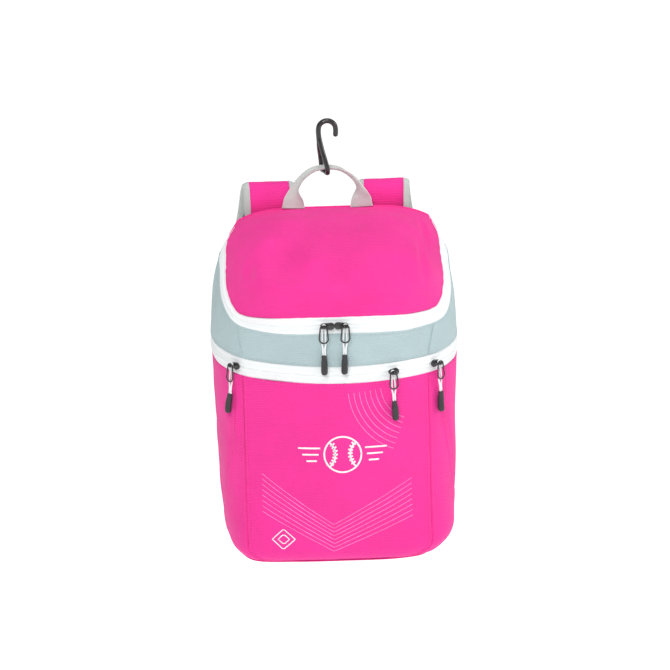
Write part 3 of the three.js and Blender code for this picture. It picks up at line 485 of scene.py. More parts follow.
class Panel:
    """A piece of cloth: a grid of points with its outward normals and its lengths."""

    def __init__(self, points, outward=None):
        self.points = np.array(points, float)
        self.outward = self.points - MIDDLE if outward is None else outward
        self.renew()

    def renew(self):
        sideways = np.gradient(self.points, axis=1)
        upward = np.gradient(self.points, axis=0)
        normals = unit(np.cross(sideways, upward))
        if (normals * self.outward).sum() < 0:
            normals = -normals
        self.normals = normals
        across = np.linalg.norm(np.diff(self.points, axis=1), axis=2)
        along = np.linalg.norm(np.diff(self.points, axis=0), axis=2)
        self.across = np.hstack([np.zeros((len(across), 1)), np.cumsum(across, axis=1)])
        self.along = np.vstack([np.zeros((1, along.shape[1])), np.cumsum(along, axis=0)])

    @property
    def edges(self):
        """Distances to the first and last column and to the first and last row."""
        return (
            self.across, self.across[:, -1:] - self.across,
            self.along, self.along[-1:] - self.along,
        )

    def lift(self, amounts):
        self.points = self.points + self.normals * amounts[..., None]
        self.renew()
        return self

    def at(self, column, row):
        """Points and normals at shares of the grid's columns and rows."""
        rows, columns = self.across.shape
        x = np.clip(np.asarray(column, float), 0, 1) * (columns - 1)
        y = np.clip(np.asarray(row, float), 0, 1) * (rows - 1)
        i = np.minimum(x.astype(int), columns - 2)
        j = np.minimum(y.astype(int), rows - 2)
        u, v = (x - i)[..., None], (y - j)[..., None]

        def blend(grid):
            low = grid[j, i] * (1 - u) + grid[j, i + 1] * u
            high = grid[j + 1, i] * (1 - u) + grid[j + 1, i + 1] * u
            return low * (1 - v) + high * v

        return blend(self.points), unit(blend(self.normals))

    def near(self, distance_column=None, distance_row=None, low=0.0, high=1.0, steps=300):
        """A line on the panel at a distance in mm from an edge. A negative distance counts
        from the last column or row."""
        share = np.linspace(low, high, steps)
        rows, columns = self.across.shape
        if distance_column is not None:
            lines, count, lengths = rows, columns, self.across
            wanted = distance_column
        else:
            lines, count, lengths = columns, rows, self.along.T
            wanted = distance_row
        places = np.arange(lines) / (lines - 1)
        found = []
        for line in lengths:
            target = wanted if wanted >= 0 else line[-1] + wanted
            found.append(np.interp(target, line, np.arange(count) / (count - 1)))
        other = np.interp(share, places, found)
        return self.at(other, share) if distance_column is not None else self.at(share, other)

    def build(self, name, material, wall=CLOTH, replaces=(), slot="pink_cloth"):
        inner = self.points - self.normals * wall
        points = np.vstack([self.points.reshape(-1, 3), inner.reshape(-1, 3)])
        faces, _ = shell_faces(*self.across.shape)
        uv = np.stack([self.across, self.along], -1).reshape(-1, 2) * MM
        new_object(name, points, faces, material, replaces, np.vstack([uv, uv]), sharp=70)


def roll_in(distance, depth=1.5, reach=2.2):
    """How far a turned cloth edge rolls in."""
    part = 1 - np.clip(distance / reach, 0, 1)
    return -depth * (1 - np.sqrt(1 - part**2 * 0.98))


def hem(distance, puff=0.5, line=5.0):
    """A turned edge with its puffed fold and the dip of the stitches that hold it."""
    fold = puff * bump(distance - line * 0.5, line * 0.35)
    return roll_in(distance) + fold - 0.35 * bump(distance - line, 0.9)


def puckers(distance, place, seed, size=6.5, depth=0.35, reach=9):
    """Small gathers that a row of stitches makes beside a seam."""
    draw = np.random.default_rng(seed)
    total = 0
    for _ in range(4):
        wave = size * draw.uniform(0.75, 1.9)
        total = total + np.sin(place * (2 * math.pi / wave) + draw.uniform(0, 2 * math.pi))
    return depth * total / 2.4 * np.exp(-distance / reach)


def loft(name, rings, run, material, sharp, replaces):
    """A closed body through rings of points, mapped by the lengths round and along it."""
    uv = np.stack(np.broadcast_arrays(run_along(rings[0])[None], run[:, None]), -1).reshape(-1, 2) * MM
    faces = tube_faces(*rings.shape[:2])
    new_object(name, rings.reshape(-1, 3), faces, material, replaces, uv, sharp)


def sweep(name, stations, outlines, material, sharp, replaces):
    """A body along stations (points, sides, outs) in mm, with an outline of (side, out) pairs at each."""
    at, side, out = stations
    outlines = np.broadcast_to(np.asarray(outlines, float), (len(at), *np.shape(outlines)[-2:]))
    rings = at[:, None] + side[:, None] * outlines[..., :1] + out[:, None] * outlines[..., 1:]
    loft(name, rings, run_along(at), material, sharp, replaces)


def tube(points, radius, sides_=10, closed=False, flat=1.0, start_side=(0.13, 0.97, 0.2)):
    """A round wire along points, whose sides don't twist. flat squeezes it along its second axis."""
    points = np.array(points, float)
    count = len(points)
    after = np.roll(points, -1, axis=0) if closed else np.vstack([points[1:], points[-1:]])
    before = np.roll(points, 1, axis=0) if closed else np.vstack([points[:1], points[:-1]])
    along = unit(after - before)
    side = np.empty_like(points)
    carried = np.array(start_side, float)
    for i in range(count):
        carried = square_to(carried, along[i])
        side[i] = carried
    out = np.cross(side, along)
    turn = (np.arange(sides_) * 2 * math.pi / sides_)[None, :, None]
    radius = np.broadcast_to(np.asarray(radius, float), (count,))[:, None, None]
    ring = side[:, None] * np.cos(turn) + out[:, None] * np.sin(turn) * flat
    grid = (points[:, None] + ring * radius).reshape(-1, 3)
    if not closed:
        return grid, tube_faces(count, sides_)
    last = (count - 1) * sides_
    joint = [(last + i, last + (i + 1) % sides_, (i + 1) % sides_, i) for i in range(sides_)]
    return grid, grid_faces(count, sides_, closed=True) + joint


def merged(parts):
    """One mesh of several (points, faces) pairs."""
    points, faces = [], []
    for part_points, part_faces in parts:
        start = sum(len(p) for p in points)
        points.append(part_points)
        faces += [tuple(i + start for i in face) for face in part_faces]
    return np.vstack(points), faces


# A stitch between its two points: place along it, girth and height
STITCH_SHAPE = [(0.12, 0.6, 0.35), (0.5, 1.0, 1.0), (0.88, 0.6, 0.35)]
STITCH_END = -0.1
STITCH_SIDES = 5


def stitch_faces():
    """The faces of one stitch: a point, three rings and a point."""
    last = 1 + (len(STITCH_SHAPE) - 1) * STITCH_SIDES
    end = last + STITCH_SIDES
    around = [(i, (i + 1) % STITCH_SIDES) for i in range(STITCH_SIDES)]
    faces = [(0, 1 + i, 1 + j) for i, j in around]
    for row in range(1, last, STITCH_SIDES):
        faces += [(row + i, row + STITCH_SIDES + i, row + STITCH_SIDES + j, row + j) for i, j in around]
    return faces + [(end, last + j, last + i) for i, j in around], end + 1


def stitches(name, lines, material, length=3.2, space=1.2, width=0.75, rise=0.45):
    """Rows of thread along lines of points and normals: one small oval body for each stitch."""
    starts, ends, ups = [], [], []
    for points, normals in lines:
        run = run_along(points)
        count = int(run[-1] / (length + space))
        first = (np.arange(count) + 0.15) * (run[-1] / max(count, 1))
        for place, rows, into in (
            (first, points, starts), (first + length, points, ends), (first + length / 2, normals, ups),
        ):
            into.append(np.stack([np.interp(place, run, rows[:, k]) for k in range(3)], -1))
    start, end, up = np.vstack(starts), np.vstack(ends), unit(np.vstack(ups))
    along = end - start
    side = unit(np.cross(up, along))
    turn = (np.arange(STITCH_SIDES) * 2 * math.pi / STITCH_SIDES)[None, :, None]
    round_ = side[:, None] * np.cos(turn) + up[:, None] * np.sin(turn)
    low = up * (rise * STITCH_END * 0.5)
    rings = [(start + low)[:, None]]
    for place, girth, height in STITCH_SHAPE:
        centre = start + along * place + up * (rise * height * 0.5)
        rings.append(centre[:, None] + round_ * (width / 2 * girth))
    rings.append((start + along + low)[:, None])
    template, each = stitch_faces()
    faces = [tuple(corner + each * k for corner in face) for k in range(len(start)) for face in template]
    new_object(name, np.concatenate(rings, axis=1).reshape(-1, 3), faces, material)


# Materials
def base_material(name, roughness, **sockets):
    material = bpy.data.materials.new(name)
    material.use_nodes = True
    tree = material.node_tree
    shader = tree.nodes["Principled BSDF"]
    shader.inputs["Roughness"].default_value = roughness
    for socket, value in sockets.items():
        shader.inputs[socket.replace("_", " ")].default_value = value
    return material, tree, shader


def add(tree, kind, **values):
    """A shader node with its values set. Names with a capital are sockets, others are settings."""
    node = tree.nodes.new("ShaderNode" + kind)
    for key, value in values.items():
        if key[0].isupper():
            node.inputs[key.replace("_", " ")].default_value = value
        else:
            setattr(node, key, value)
    return node


def calculate(tree, operation, *values):
    node = add(tree, "Math", operation=operation)
    for socket, value in zip(node.inputs, values):
        if isinstance(value, (int, float)):
            socket.default_value = value
        else:
            tree.links.new(value, socket)
    return node.outputs[0]


def weighted(tree, *pairs):
    """The sum of outputs, each times its weight."""
    total = None
    for output, weight in pairs:
        share = calculate(tree, "MULTIPLY", output, weight)
        total = share if total is None else calculate(tree, "ADD", total, share)
    return total


def wave(tree, vector, direction, pitch, distortion=0.0):
    """Even ridges across a direction, a pitch in mm apart, from 0 to 1."""
    scale = 2 * math.pi / (20 * pitch * MM)
    node = add(tree, "TexWave", bands_direction=direction, Scale=scale, Distortion=distortion)
    tree.links.new(vector, node.inputs["Vector"])
    return node.outputs["Fac"]


def noise(tree, vector, size, detail=3.0, roughness=0.55):
    """Unevenness with bumps about a size in mm across, from 0 to 1."""
    node = add(tree, "TexNoise", Scale=1 / (size * MM), Detail=detail, Roughness=roughness)
    tree.links.new(vector, node.inputs["Vector"])
    return node.outputs["Fac"]


def shades(tree, factor, dark, light, low=0.3, high=0.7):
    ramp = add(tree, "ValToRGB")
    ramp.color_ramp.elements[0].position = low
    ramp.color_ramp.elements[1].position = high
    ramp.color_ramp.elements[0].color = (*dark, 1)
    ramp.color_ramp.elements[1].color = (*light, 1)
    tree.links.new(factor, ramp.inputs["Fac"])
    return ramp.outputs["Color"]


def raise_surface(tree, shader, height, distance, strength=1.0):
    node = add(tree, "Bump", Strength=strength, Distance=distance * MM)
    tree.links.new(height, node.inputs["Height"])
    tree.links.new(node.outputs["Normal"], shader.inputs["Normal"])
    return node


def tinted(colour, factor):
    return tuple(min(1.0, channel * factor) for channel in colour)


def woven(name, colour, pitch, roughness=0.8, sheen=0.2, depth=0.12, mottle=0.07, rib=1.0, mapped=True):
    """Woven cloth: yarns that cross at a pitch in mm, slow random changes of tone and slubs, with painted
    shade where the yarns dip under each other.
    """
    material, tree, shader = base_material(
        name, roughness, Sheen_Weight=sheen, Sheen_Roughness=0.45, Specular_IOR_Level=0.25)
    where = add(tree, "TexCoord")
    vector = add(tree, "UVMap", uv_map="cloth").outputs["UV"] if mapped else where.outputs["Object"]
    warp = wave(tree, vector, "X", pitch)
    weft = wave(tree, vector, "Y", pitch * rib)
    if not mapped:
        rise = wave(tree, vector, "Z", pitch)
        weft = calculate(tree, "MULTIPLY", weft, rise)
    weave = calculate(tree, "MULTIPLY", warp, weft)
    slub = noise(tree, vector, pitch * 2.5, 2.0)
    height = calculate(tree, "ADD", weave, calculate(tree, "MULTIPLY", slub, 0.5))
    raise_surface(tree, shader, height, depth)
    slow = noise(tree, where.outputs["Object"], 55, 4.0)
    # The colour is partly a slow random change of tone and slubs, and partly painted shade: darker where the
    # weave dips between yarn crossings.
    factor = weighted(tree, (slow, 0.5), (slub, 0.2), (weave, 0.42))
    colours = shades(tree, factor, tinted(colour, 1 - mottle), tinted(colour, 1 + mottle), 0.28, 0.68)
    tree.links.new(colours, shader.inputs["Base Color"])
    rough = calculate(tree, "MULTIPLY_ADD", slow, 0.16, roughness - 0.08)
    tree.links.new(rough, shader.inputs["Roughness"])
    return material


def ribbed(name, colour, pitch, roughness=0.7, depth=0.25, direction="Y", mottle=0.06):
    """Webbing or binding tape: close ribs across its length, with finer yarns along it."""
    material, tree, shader = base_material(name, roughness, Sheen_Weight=0.15, Specular_IOR_Level=0.3)
    where = add(tree, "TexCoord")
    vector = add(tree, "UVMap", uv_map="cloth").outputs["UV"]
    other = "X" if direction == "Y" else "Y"
    ribs = wave(tree, vector, direction, pitch)
    yarns = wave(tree, vector, other, pitch * 0.8)
    height = calculate(tree, "ADD", ribs, calculate(tree, "MULTIPLY", yarns, 0.5))
    raise_surface(tree, shader, height, depth)
    slow = noise(tree, where.outputs["Object"], 25, 4.0)
    # The colour is partly a slow random change of tone and partly painted shade, darker where the ribs and
    # yarns are low.
    factor = weighted(tree, (slow, 0.7), (height, 0.18))
    colours = shades(tree, factor, tinted(colour, 1 - mottle), tinted(colour, 1 + mottle))
    tree.links.new(colours, shader.inputs["Base Color"])
    return material


def spacer_mesh(name, colour):
    """Spacer mesh: rows of small round holes in a soft knitted face."""
    material, tree, shader = base_material(name, 0.85, Sheen_Weight=0.3, Specular_IOR_Level=0.2)
    where = add(tree, "TexCoord")
    cells = add(tree, "TexVoronoi", Scale=1 / (2.6 * MM), Randomness=0.25)
    tree.links.new(where.outputs["Object"], cells.inputs["Vector"])
    distance = calculate(tree, "MULTIPLY", cells.outputs["Distance"], 1.9)
    hole = calculate(tree, "SMOOTH_MIN", distance, 0.75, 0.2)
    raise_surface(tree, shader, hole, 0.5)
    slow = noise(tree, where.outputs["Object"], 40)
    # The holes are painted dark as shade falling into them, over a slow random change of tone.
    factor = weighted(tree, (hole, 0.6), (slow, 0.3))
    colours = shades(tree, factor, tinted(colour, 0.45), tinted(colour, 1.15), 0.3, 0.62)
    tree.links.new(colours, shader.inputs["Base Color"])
    return material


def moulded(name, colour, roughness, depth=0.03, grain=0.8, coat=0.0):
    """Moulded plastic, coated metal or rubber, with a fine grain and rubbed places."""
    material, tree, shader = base_material(
        name, roughness, Coat_Weight=coat, Coat_Roughness=0.15, Specular_IOR_Level=0.5)
    where = add(tree, "TexCoord").outputs["Object"]
    fine = noise(tree, where, grain, 2.0)
    slow = noise(tree, where, 9, 4.0)
    raise_surface(tree, shader, fine, depth)
    tree.links.new(shades(tree, slow, tinted(colour, 0.8), tinted(colour, 1.5)), shader.inputs["Base Color"])
    tree.links.new(calculate(tree, "MULTIPLY_ADD", slow, 0.22, roughness - 0.1), shader.inputs["Roughness"])
    return material


def thread(name, colour):
    """Twisted sewing thread or braided cord."""
    material, tree, shader = base_material(name, 0.6, Sheen_Weight=0.2)
    where = add(tree, "TexCoord").outputs["Object"]
    twist = wave(tree, where, "DIAGONAL", 0.9, 0.6)
    raise_surface(tree, shader, twist, 0.12)
    # The grooves of the twist are painted darker as shade.
    colours = shades(tree, twist, tinted(colour, 0.88), tinted(colour, 1.04), 0.1, 0.7)
    tree.links.new(colours, shader.inputs["Base Color"])
    return material


PINK = (0.94, 0.038, 0.33)
pink_cloth = woven("pink polyester", PINK, 1.7, sheen=0.1, depth=0.4, mottle=0.12, rib=2.0)
pink_lining = woven("pink pad cloth", tinted(PINK, 0.97), 1.7, sheen=0.12, depth=0.3, mapped=False)
grey_cloth = woven(
    "grey blue polyester", (0.45, 0.57, 0.59), 1.7, sheen=0.1, rib=1.9, depth=0.4, mottle=0.1)
tape_cloth = woven("zip tape", (0.87, 0.895, 0.905), 0.6, depth=0.08, rib=2.0, mottle=0.025)
binding_tape = ribbed("binding tape", (0.56, 0.61, 0.58), 1.1)
webbing_cloth = ribbed("webbing", (0.68, 0.70, 0.67), 1.5, depth=0.35)
mesh_cloth = spacer_mesh("spacer mesh", (0.11, 0.105, 0.1))
plastic = moulded("black plastic", (0.012, 0.012, 0.013), 0.3, coat=0.3)
metal = moulded("black coated metal", (0.012, 0.012, 0.013), 0.28, depth=0.01, coat=0.4)
rubber = moulded("black rubber", (0.028, 0.028, 0.03), 0.55, depth=0.06)
white_cord = thread("white cord", (0.93, 0.94, 0.95))
pink_thread = thread("pink thread", (0.97, 0.06, 0.36))
white_thread = thread("white thread", (0.88, 0.9, 0.92))
grey_thread = thread("grey thread", (0.5, 0.58, 0.6))
black_thread = thread("black thread", (0.02, 0.02, 0.022))
pale_print = moulded("pale printed line", (1.0, 0.19, 0.5), 0.55, depth=0.01)
white_print = moulded("white print", (0.9, 0.93, 0.93), 0.5, depth=0.01)


# Cloth of the bag's walls
def front_cloth():
    heights = BASE_WALL + GAP + spaced(WALL_TOP - BASE_WALL - GAP, 2.6)
    width = 2 * 150
    place = (spaced(width, 2.4) / width)[None]
    left_edge = -seam_share(-1, heights)[:, None]
    right_edge = seam_share(1, heights)[:, None]
    panel = Panel(wall_point(left_edge + (right_edge - left_edge) * place, heights[:, None]))
    left, right, low, high = panel.edges
    seam = np.minimum(left, right)
    amounts = hem(seam, 0.8, 4.5) + roll_in(low, 1.2) + hem(high, 0.4, 3.5)
    amounts += puckers(seam, panel.along, 3) + puckers(high, panel.across, 5, 9, 0.25)
    calm = smoothstep(seam, 6, 45)
    amounts += (ripple(panel.points, 11, 120) * 1.2 + ripple(panel.points, 12, 45) * 0.3) * calm
    amounts += 0.5 * smoothstep(seam, 0, 3) * (1 - smoothstep(high, 0, 30))
    return panel.lift(amounts)


def side_cloth(side):
    heights = BASE_WALL + GAP + spaced(WALL_TOP - BASE_WALL - GAP, 2.6)
    middle = pleat_share(heights / LOWER_ZIP)[:, None]
    seam_at = seam_share(side, heights)[:, None]
    reach = 14 / PLAN_HALF
    before = spaced(1, 1 / 14, 1 / 60)[None] * (middle - reach - seam_at) + seam_at
    fold = middle - reach + 2 * reach * np.linspace(0, 1, 27)[None, 1:-1]
    after = middle + reach + (1 - middle - reach) * spaced(1, 1 / 52, 1 / 200)[None]
    shares = np.hstack([before, fold, after])
    panel = Panel(wall_point(side * shares, heights[:, None]))
    first, last, low, high = panel.edges
    crease = before.shape[1] + 12
    place = panel.across - panel.across[:, crease:crease + 1]
    depth = pleat_depth(heights / LOWER_ZIP)[:, None]
    amounts = depth * PLEAT_DEPTH * (
        0.45 * bump(place + 4.5, 3.8) - 0.85 * bump(place - 0.8, 1.7) - 0.45 * bump(place - 6, 6.5)
    )
    amounts += hem(first, 0.3, 4.5) + roll_in(last, 1.2) + roll_in(low, 1.2) + hem(high, 0.4, 3.5)
    amounts += puckers(first, panel.along, 7 + side) + puckers(high, panel.across, 9 + side, 9, 0.25)
    calm = smoothstep(np.minimum(first, last), 6, 30)
    amounts += (ripple(panel.points, 21 + side, 95) * 1.3 + ripple(panel.points, 22 + side, 38) * 0.35) * calm
    return panel.lift(amounts)


def band_cloth(low_share, high_share, count, seeds):
    shares = low_share + (high_share - low_share) * spaced(1, 1 / count, 1 / (count * 4))
    parts = spaced(1, 1 / 24, 1 / 90)
    panel = Panel(band_point(shares[None], parts[:, None]))
    first, last, low, high = panel.edges
    seam = np.minimum(first, last)
    rim = np.minimum(low, high)
    amounts = hem(seam, 0.5, 3.5) + hem(rim, 0.4, 3.2)
    amounts += puckers(rim, panel.across, seeds, 9, 0.3, 7)
    amounts += (ripple(panel.points, seeds + 1, 60) * 0.9) * smoothstep(np.minimum(seam, rim), 4, 22)
    return panel.lift(amounts)


def lid_cloth():
    along = spaced(1, 1 / 84, 1 / 300)
    across = np.sin(spaced(1, 1 / 104, 1 / 300) * math.pi - math.pi / 2)
    panel = Panel(lid_point(across[None], along[:, None]))
    left, right, back, front = panel.edges
    rim = np.minimum(np.minimum(left, right), front)
    amounts = hem(rim, 0.5, 3.5) + roll_in(back, 0.8)
    for x, y, reach_x, reach_y, depth in LID_DENTS:
        far = ((across[None] - x) / reach_x) ** 2 + ((along[:, None] - y) / reach_y) ** 2
        amounts = amounts - depth * DENT_DEPTH * np.maximum(0, 1 - far) ** 2
    amounts += puckers(front, panel.across, 31, 10, 0.3) + puckers(left, panel.along, 32, 12, 0.4)
    amounts += puckers(right, panel.along, 33, 12, 0.4)
    calm = smoothstep(rim, 5, 35) * smoothstep(back, 2, 20)
    amounts += (ripple(panel.points, 34, 90) * 1.2 + ripple(panel.points, 35, 35) * 0.3) * calm
    return panel.lift(amounts)


def base_cloth():
    shares = np.linspace(-1, 1, 121)
    inward = np.concatenate([[0, 0.01, 0.02, 0.035, 0.055], np.linspace(0.08, 1, 22)])
    rim = wall_point(shares, BASE_WALL + GAP)
    middle = np.stack([rim[:, 0] * 0.6 + 2, np.full(len(rim), -BACK_SEAT - 0.5), rim[:, 2]], -1)
    points = rim[None] * (1 - inward[:, None, None]) + middle[None] * inward[:, None, None]
    points[..., 2] = 0.4
    panel = Panel(points, outward=np.array([0, 0, -1.0]))
    edge = panel.edges[2]
    amounts = roll_in(edge, 1.5, 3.5) + ripple(panel.points, 41, 70) * 0.25 * smoothstep(edge, 5, 30)
    return panel.lift(np.minimum(amounts, 0.3))


front = front_cloth()
sides = {label: side_cloth(side) for label, side in (("left", -1), ("right", 1))}
bands = {
    "front": band_cloth(-UPPER_SEAM, BAND_SEAM_RIGHT, 96, 51),
    "left": band_cloth(-1, -UPPER_SEAM, 60, 61),
    "right": band_cloth(BAND_SEAM_RIGHT, 1, 60, 71),
}
lid = lid_cloth()
base = base_cloth()
front.build("front_cloth", pink_cloth, replaces=["front_panel"])
for label, panel in sides.items():
    panel.build(f"side_cloth_{label}", pink_cloth, replaces=[f"side_panel_{label}"])
for label, panel in bands.items():
    panel.build(f"band_cloth_{label}", grey_cloth, replaces=[f"band_{label}"], slot="grey_cloth")
lid.build("lid_cloth", pink_cloth, replaces=["lid"])
base.build("base_cloth", pink_cloth, wall=1.6, replaces=["bottom_panel"])


# Zips: a tape whose two halves fold over a hidden coil and meet along a line
def tape_relief(offset):
    size = np.abs(offset)
    fold = 0.9 * smoothstep(size, 0.2, 0.9) * (1 - smoothstep(size, 2.6, 4.6))
    sewn = -0.3 * bump(size - 6.2, 0.5)
    return fold + sewn - 0.7 * smoothstep(size, 10.4, 11.8) - 0.25


TAPE_OFFSETS = np.array([
    -12, -11.6, -11, -10.2, -9, -7.4, -6.6, -6.2, -5.8, -4.6, -3.8, -3, -2.2, -1.4, -0.9, -0.55, -0.25, 0,
    0.25, 0.55, 0.9, 1.4, 2.2, 3, 3.8, 4.6, 5.8, 6.2, 6.6, 7.4, 9, 10.2, 11, 11.6, 12,
])


def zip_tape(name, shares, point_at, replaces):
    points = point_at(shares[None], TAPE_OFFSETS[:, None])
    panel = Panel(points)
    amounts = np.broadcast_to(tape_relief(TAPE_OFFSETS)[:, None], panel.across.shape)
    amounts = amounts + ripple(panel.points, 81, 40) * 0.25
    panel.lift(amounts)
    panel.build(name, tape_cloth, TAPE_WALL, replaces=replaces, slot="zip_tape")
    return panel


def lower_zip_point(share, offset):
    return wall_point(share, LOWER_ZIP + offset)


ZIP_LINES = [
    ("upper", "zip_upper", (-1, 1, 361), upper_point),
    ("front", "zip_lower_front", (-SEAM_LEFT, SEAM_RIGHT, 141), lower_zip_point),
    ("left", "zip_lower_left", (-1, -SEAM_LEFT, 101), lower_zip_point),
    ("right", "zip_lower_right", (SEAM_RIGHT, 1, 101), lower_zip_point),
]
tapes = {
    label: zip_tape(name, np.linspace(*shares), point_at, [f"zip_tape_{label}"])
    for label, name, shares, point_at in ZIP_LINES
}


# Sewing: rows of stitches beside the seams and the zips
def sewing():
    pink_rows = [front.near(distance_column=place) for place in (4.5, -4.5)]
    pink_rows += [front.near(distance_row=place) for place in (-3.5, 4.0)]
    for panel in sides.values():
        pink_rows += [panel.near(distance_row=-3.5), panel.near(distance_column=4.5)]
    pink_rows += [lid.near(distance_row=-3.5), lid.near(distance_column=3.5), lid.near(distance_column=-3.5)]
    stitches("pink_stitches", pink_rows, pink_thread)
    grey_rows = []
    for panel in bands.values():
        grey_rows += [panel.near(distance_row=3.2), panel.near(distance_row=-3.2)]
    grey_rows += [bands["front"].near(distance_column=3.5), bands["front"].near(distance_column=-3.5)]
    stitches("grey_stitches", grey_rows, grey_thread)
    white_rows = []
    for panel in tapes.values():
        middle = np.interp([-6.2, 6.2], TAPE_OFFSETS, np.linspace(0, 1, len(TAPE_OFFSETS)))
        for place in middle:
            line = np.linspace(0, 1, 500)
            white_rows.append(panel.at(line, np.full(500, place)))
    stitches("white_stitches", white_rows, white_thread, 2.4, 0.9, 0.5, 0.3)


sewing()


# Shoulder straps
def strap_path(side):
    points = []
    for i, (across, back, height, _, _) in enumerate(STRAP_ROWS):
        z = height * BAG_HEIGHT + (GAP if i == 0 else 0)
        points.append((side * across * HALF_WIDTH + sway(z), back * STAND_OFF, z))
    return RoundCurve(points)


PAD_HALF = STRAP_WIDTH / 2 - BINDING_WALL - GAP
SIDEWAYS = np.array([1.0, 0.0, 0.0])


def strap_stations(side, steps):
    curve = strap_path(side)
    shares = np.linspace(0, 1, steps)
    part = curve.part_at(shares)
    along = curve.tangent(part)
    sides_ = square_to(SIDEWAYS, along)
    rows = len(STRAP_ROWS) - 1
    place = shares * rows
    wide = np.interp(place, np.arange(rows + 1), [row[3] for row in STRAP_ROWS])
    thick = np.interp(place, np.arange(rows + 1), [row[4] for row in STRAP_ROWS])
    return curve.point(part), sides_, np.cross(sides_, along), wide, thick


def pad_half_thickness(place, edge, thick):
    """Half of the pad's thickness at a place across it."""
    inwards = np.clip((edge - np.abs(place)) / PAD_SHOULDER, 0, 1)
    return thick * (PAD_EDGE / 2 + (PAD_WALL - PAD_EDGE) / 2 * np.sin(inwards * math.pi / 2))


def strap_pad(label, side):
    at, sides_, out, wide, thick = strap_stations(side, 121)
    edge = (PAD_HALF * wide)[:, None]
    across = np.sin(np.linspace(-1, 1, 25) * math.pi / 2)[None] * edge
    half = pad_half_thickness(across, edge, thick[:, None])
    run = run_along(at)[:, None]
    end = np.minimum(run, run[-1] - run)
    half = half * np.sqrt(np.clip(end / 6, 0.08, 1))
    ring = np.concatenate([across, across[:, ::-1][:, 1:-1]], axis=1)
    tall = np.concatenate([half, -half[:, ::-1][:, 1:-1]], axis=1)
    points = at[:, None] + sides_[:, None] * ring[..., None] + out[:, None] * tall[..., None]
    centre = points - at[:, None]
    wrinkle = ripple(points, 90 + side, 42) * 0.45 + ripple(points, 93 + side, 17) * 0.16
    points = points + unit(centre) * (wrinkle * smoothstep(end, 0, 20))[..., None]
    rows, columns = points.shape[:2]
    faces = tube_faces(rows, columns)
    uv = np.stack([ring, np.broadcast_to(run, ring.shape)], -1).reshape(-1, 2) * MM
    pad = new_object(f"pad_{label}", points.reshape(-1, 3), faces, [pink_cloth, mesh_cloth],
                     [f"strap_pad_{label}"], uv)
    # The lower face of the strap, towards the wearer, is mesh
    inside = len(across[0]) - 1
    for i, polygon in enumerate(pad.data.polygons):
        polygon.material_index = 0 if i >= len(faces) - 2 or i % columns < inside else 1
    swell(pad, 4.0, 2.5)
    return at, sides_, out, wide, thick


SWELL_FRAMES = 20


def swell(piece, pressure, cap):
    """Fills a padded piece by a cloth simulation whose result moves no point by more than a cap in mm."""
    scene = bpy.context.scene
    before = np.empty(len(piece.data.vertices) * 3, np.float32)
    piece.data.vertices.foreach_get("co", before)
    before = before.reshape(-1, 3)
    modifier = piece.modifiers.new("filling", "CLOTH")
    settings = modifier.settings
    settings.quality = 6
    settings.mass = 0.3
    settings.tension_stiffness = 40
    settings.compression_stiffness = 40
    settings.shear_stiffness = 20
    settings.bending_stiffness = 2.0
    settings.use_pressure = True
    settings.uniform_pressure_force = pressure
    settings.effector_weights.gravity = 0
    modifier.collision_settings.use_collision = False
    modifier.point_cache.frame_start = 1
    modifier.point_cache.frame_end = SWELL_FRAMES
    for frame_number in range(1, SWELL_FRAMES + 1):
        scene.frame_set(frame_number)
    graph = bpy.context.evaluated_depsgraph_get()
    result = piece.evaluated_get(graph).to_mesh()
    after = np.empty(len(result.vertices) * 3, np.float32)
    result.vertices.foreach_get("co", after)
    piece.evaluated_get(graph).to_mesh_clear()
    move = after.reshape(-1, 3) - before
    length = np.linalg.norm(move, axis=1, keepdims=True)
    move *= np.minimum(1, cap * MM / np.maximum(length, 1e-9))
    piece.modifiers.remove(modifier)
    piece.data.vertices.foreach_set("co", (before + move).ravel())
    piece.data.update()
    scene.frame_set(1)


def strap_binding(label, side, edge_side, stations):
    at, sides_, out, wide, thick = stations
    edge = PAD_HALF * wide
    end = edge + GAP + BINDING_WALL - BINDING_REACH
    name = "outer" if edge_side == side else "inner"

    def outline(offset):
        rows = []
        for e, last, t in zip(edge, end, thick):
            across = np.concatenate([np.linspace(last, e, 7), [e + GAP]])
            half = pad_half_thickness(np.minimum(across, e), e, t) + 0.55 + offset
            half[-1] = PAD_EDGE / 2 * t * 0.9 + offset
            turn = np.linspace(math.pi / 2, -math.pi / 2, 7)[1:-1]
            bulge = e + GAP + 0.3 + (BINDING_WALL + offset) * np.cos(turn)
            round_half = half[-1] * np.sin(turn)
            x = np.concatenate([across, bulge, across[::-1]])
            y = np.concatenate([half, round_half, -half[::-1]])
            rows.append(np.stack([x * edge_side, y], -1))
        return np.array(rows)

    outer, inner = outline(0.55), outline(-0.35)
    outer_points = at[:, None] + sides_[:, None] * outer[..., :1] + out[:, None] * outer[..., 1:]
    inner_points = at[:, None] + sides_[:, None] * inner[..., :1] + out[:, None] * inner[..., 1:]
    rings = np.concatenate([outer_points, inner_points[:, ::-1]], axis=1)
    rings = rings + (ripple(rings, 95 + side, 15) * 0.15)[..., None] * out[:, None]
    loft(f"binding_{label}_{name}", rings, run_along(at), binding_tape, 60,
         [f"strap_binding_{label}_{name}"])
    return [(outer_points[:, 1], out), (outer_points[:, -2], -out)]


binding_lines = []
for label, side in (("left", -1), ("right", 1)):
    stations = strap_pad(label, side)
    for edge_side in (-1, 1):
        binding_lines += strap_binding(label, side, edge_side, stations)
stitches("binding_stitches", binding_lines, grey_thread, 2.8, 1.2, 0.55, 0.4)


# Webbing and buckles at the straps' lower ends
TAB_DROP = 3 * GAP + WEBBING_WALL
STRAND_OFFSET = BUCKLE_WALL / 2 + 2 * GAP + WEBBING_WALL / 2
BAR_START = np.array([0.03, 1.0, 0.11])


def strap_end(side):
    curve = strap_path(side)
    along = curve.tangent(1.0 - 1e-4)
    side_ = square_to(SIDEWAYS, along)
    return curve.point(1.0), along, side_, np.cross(side_, along)


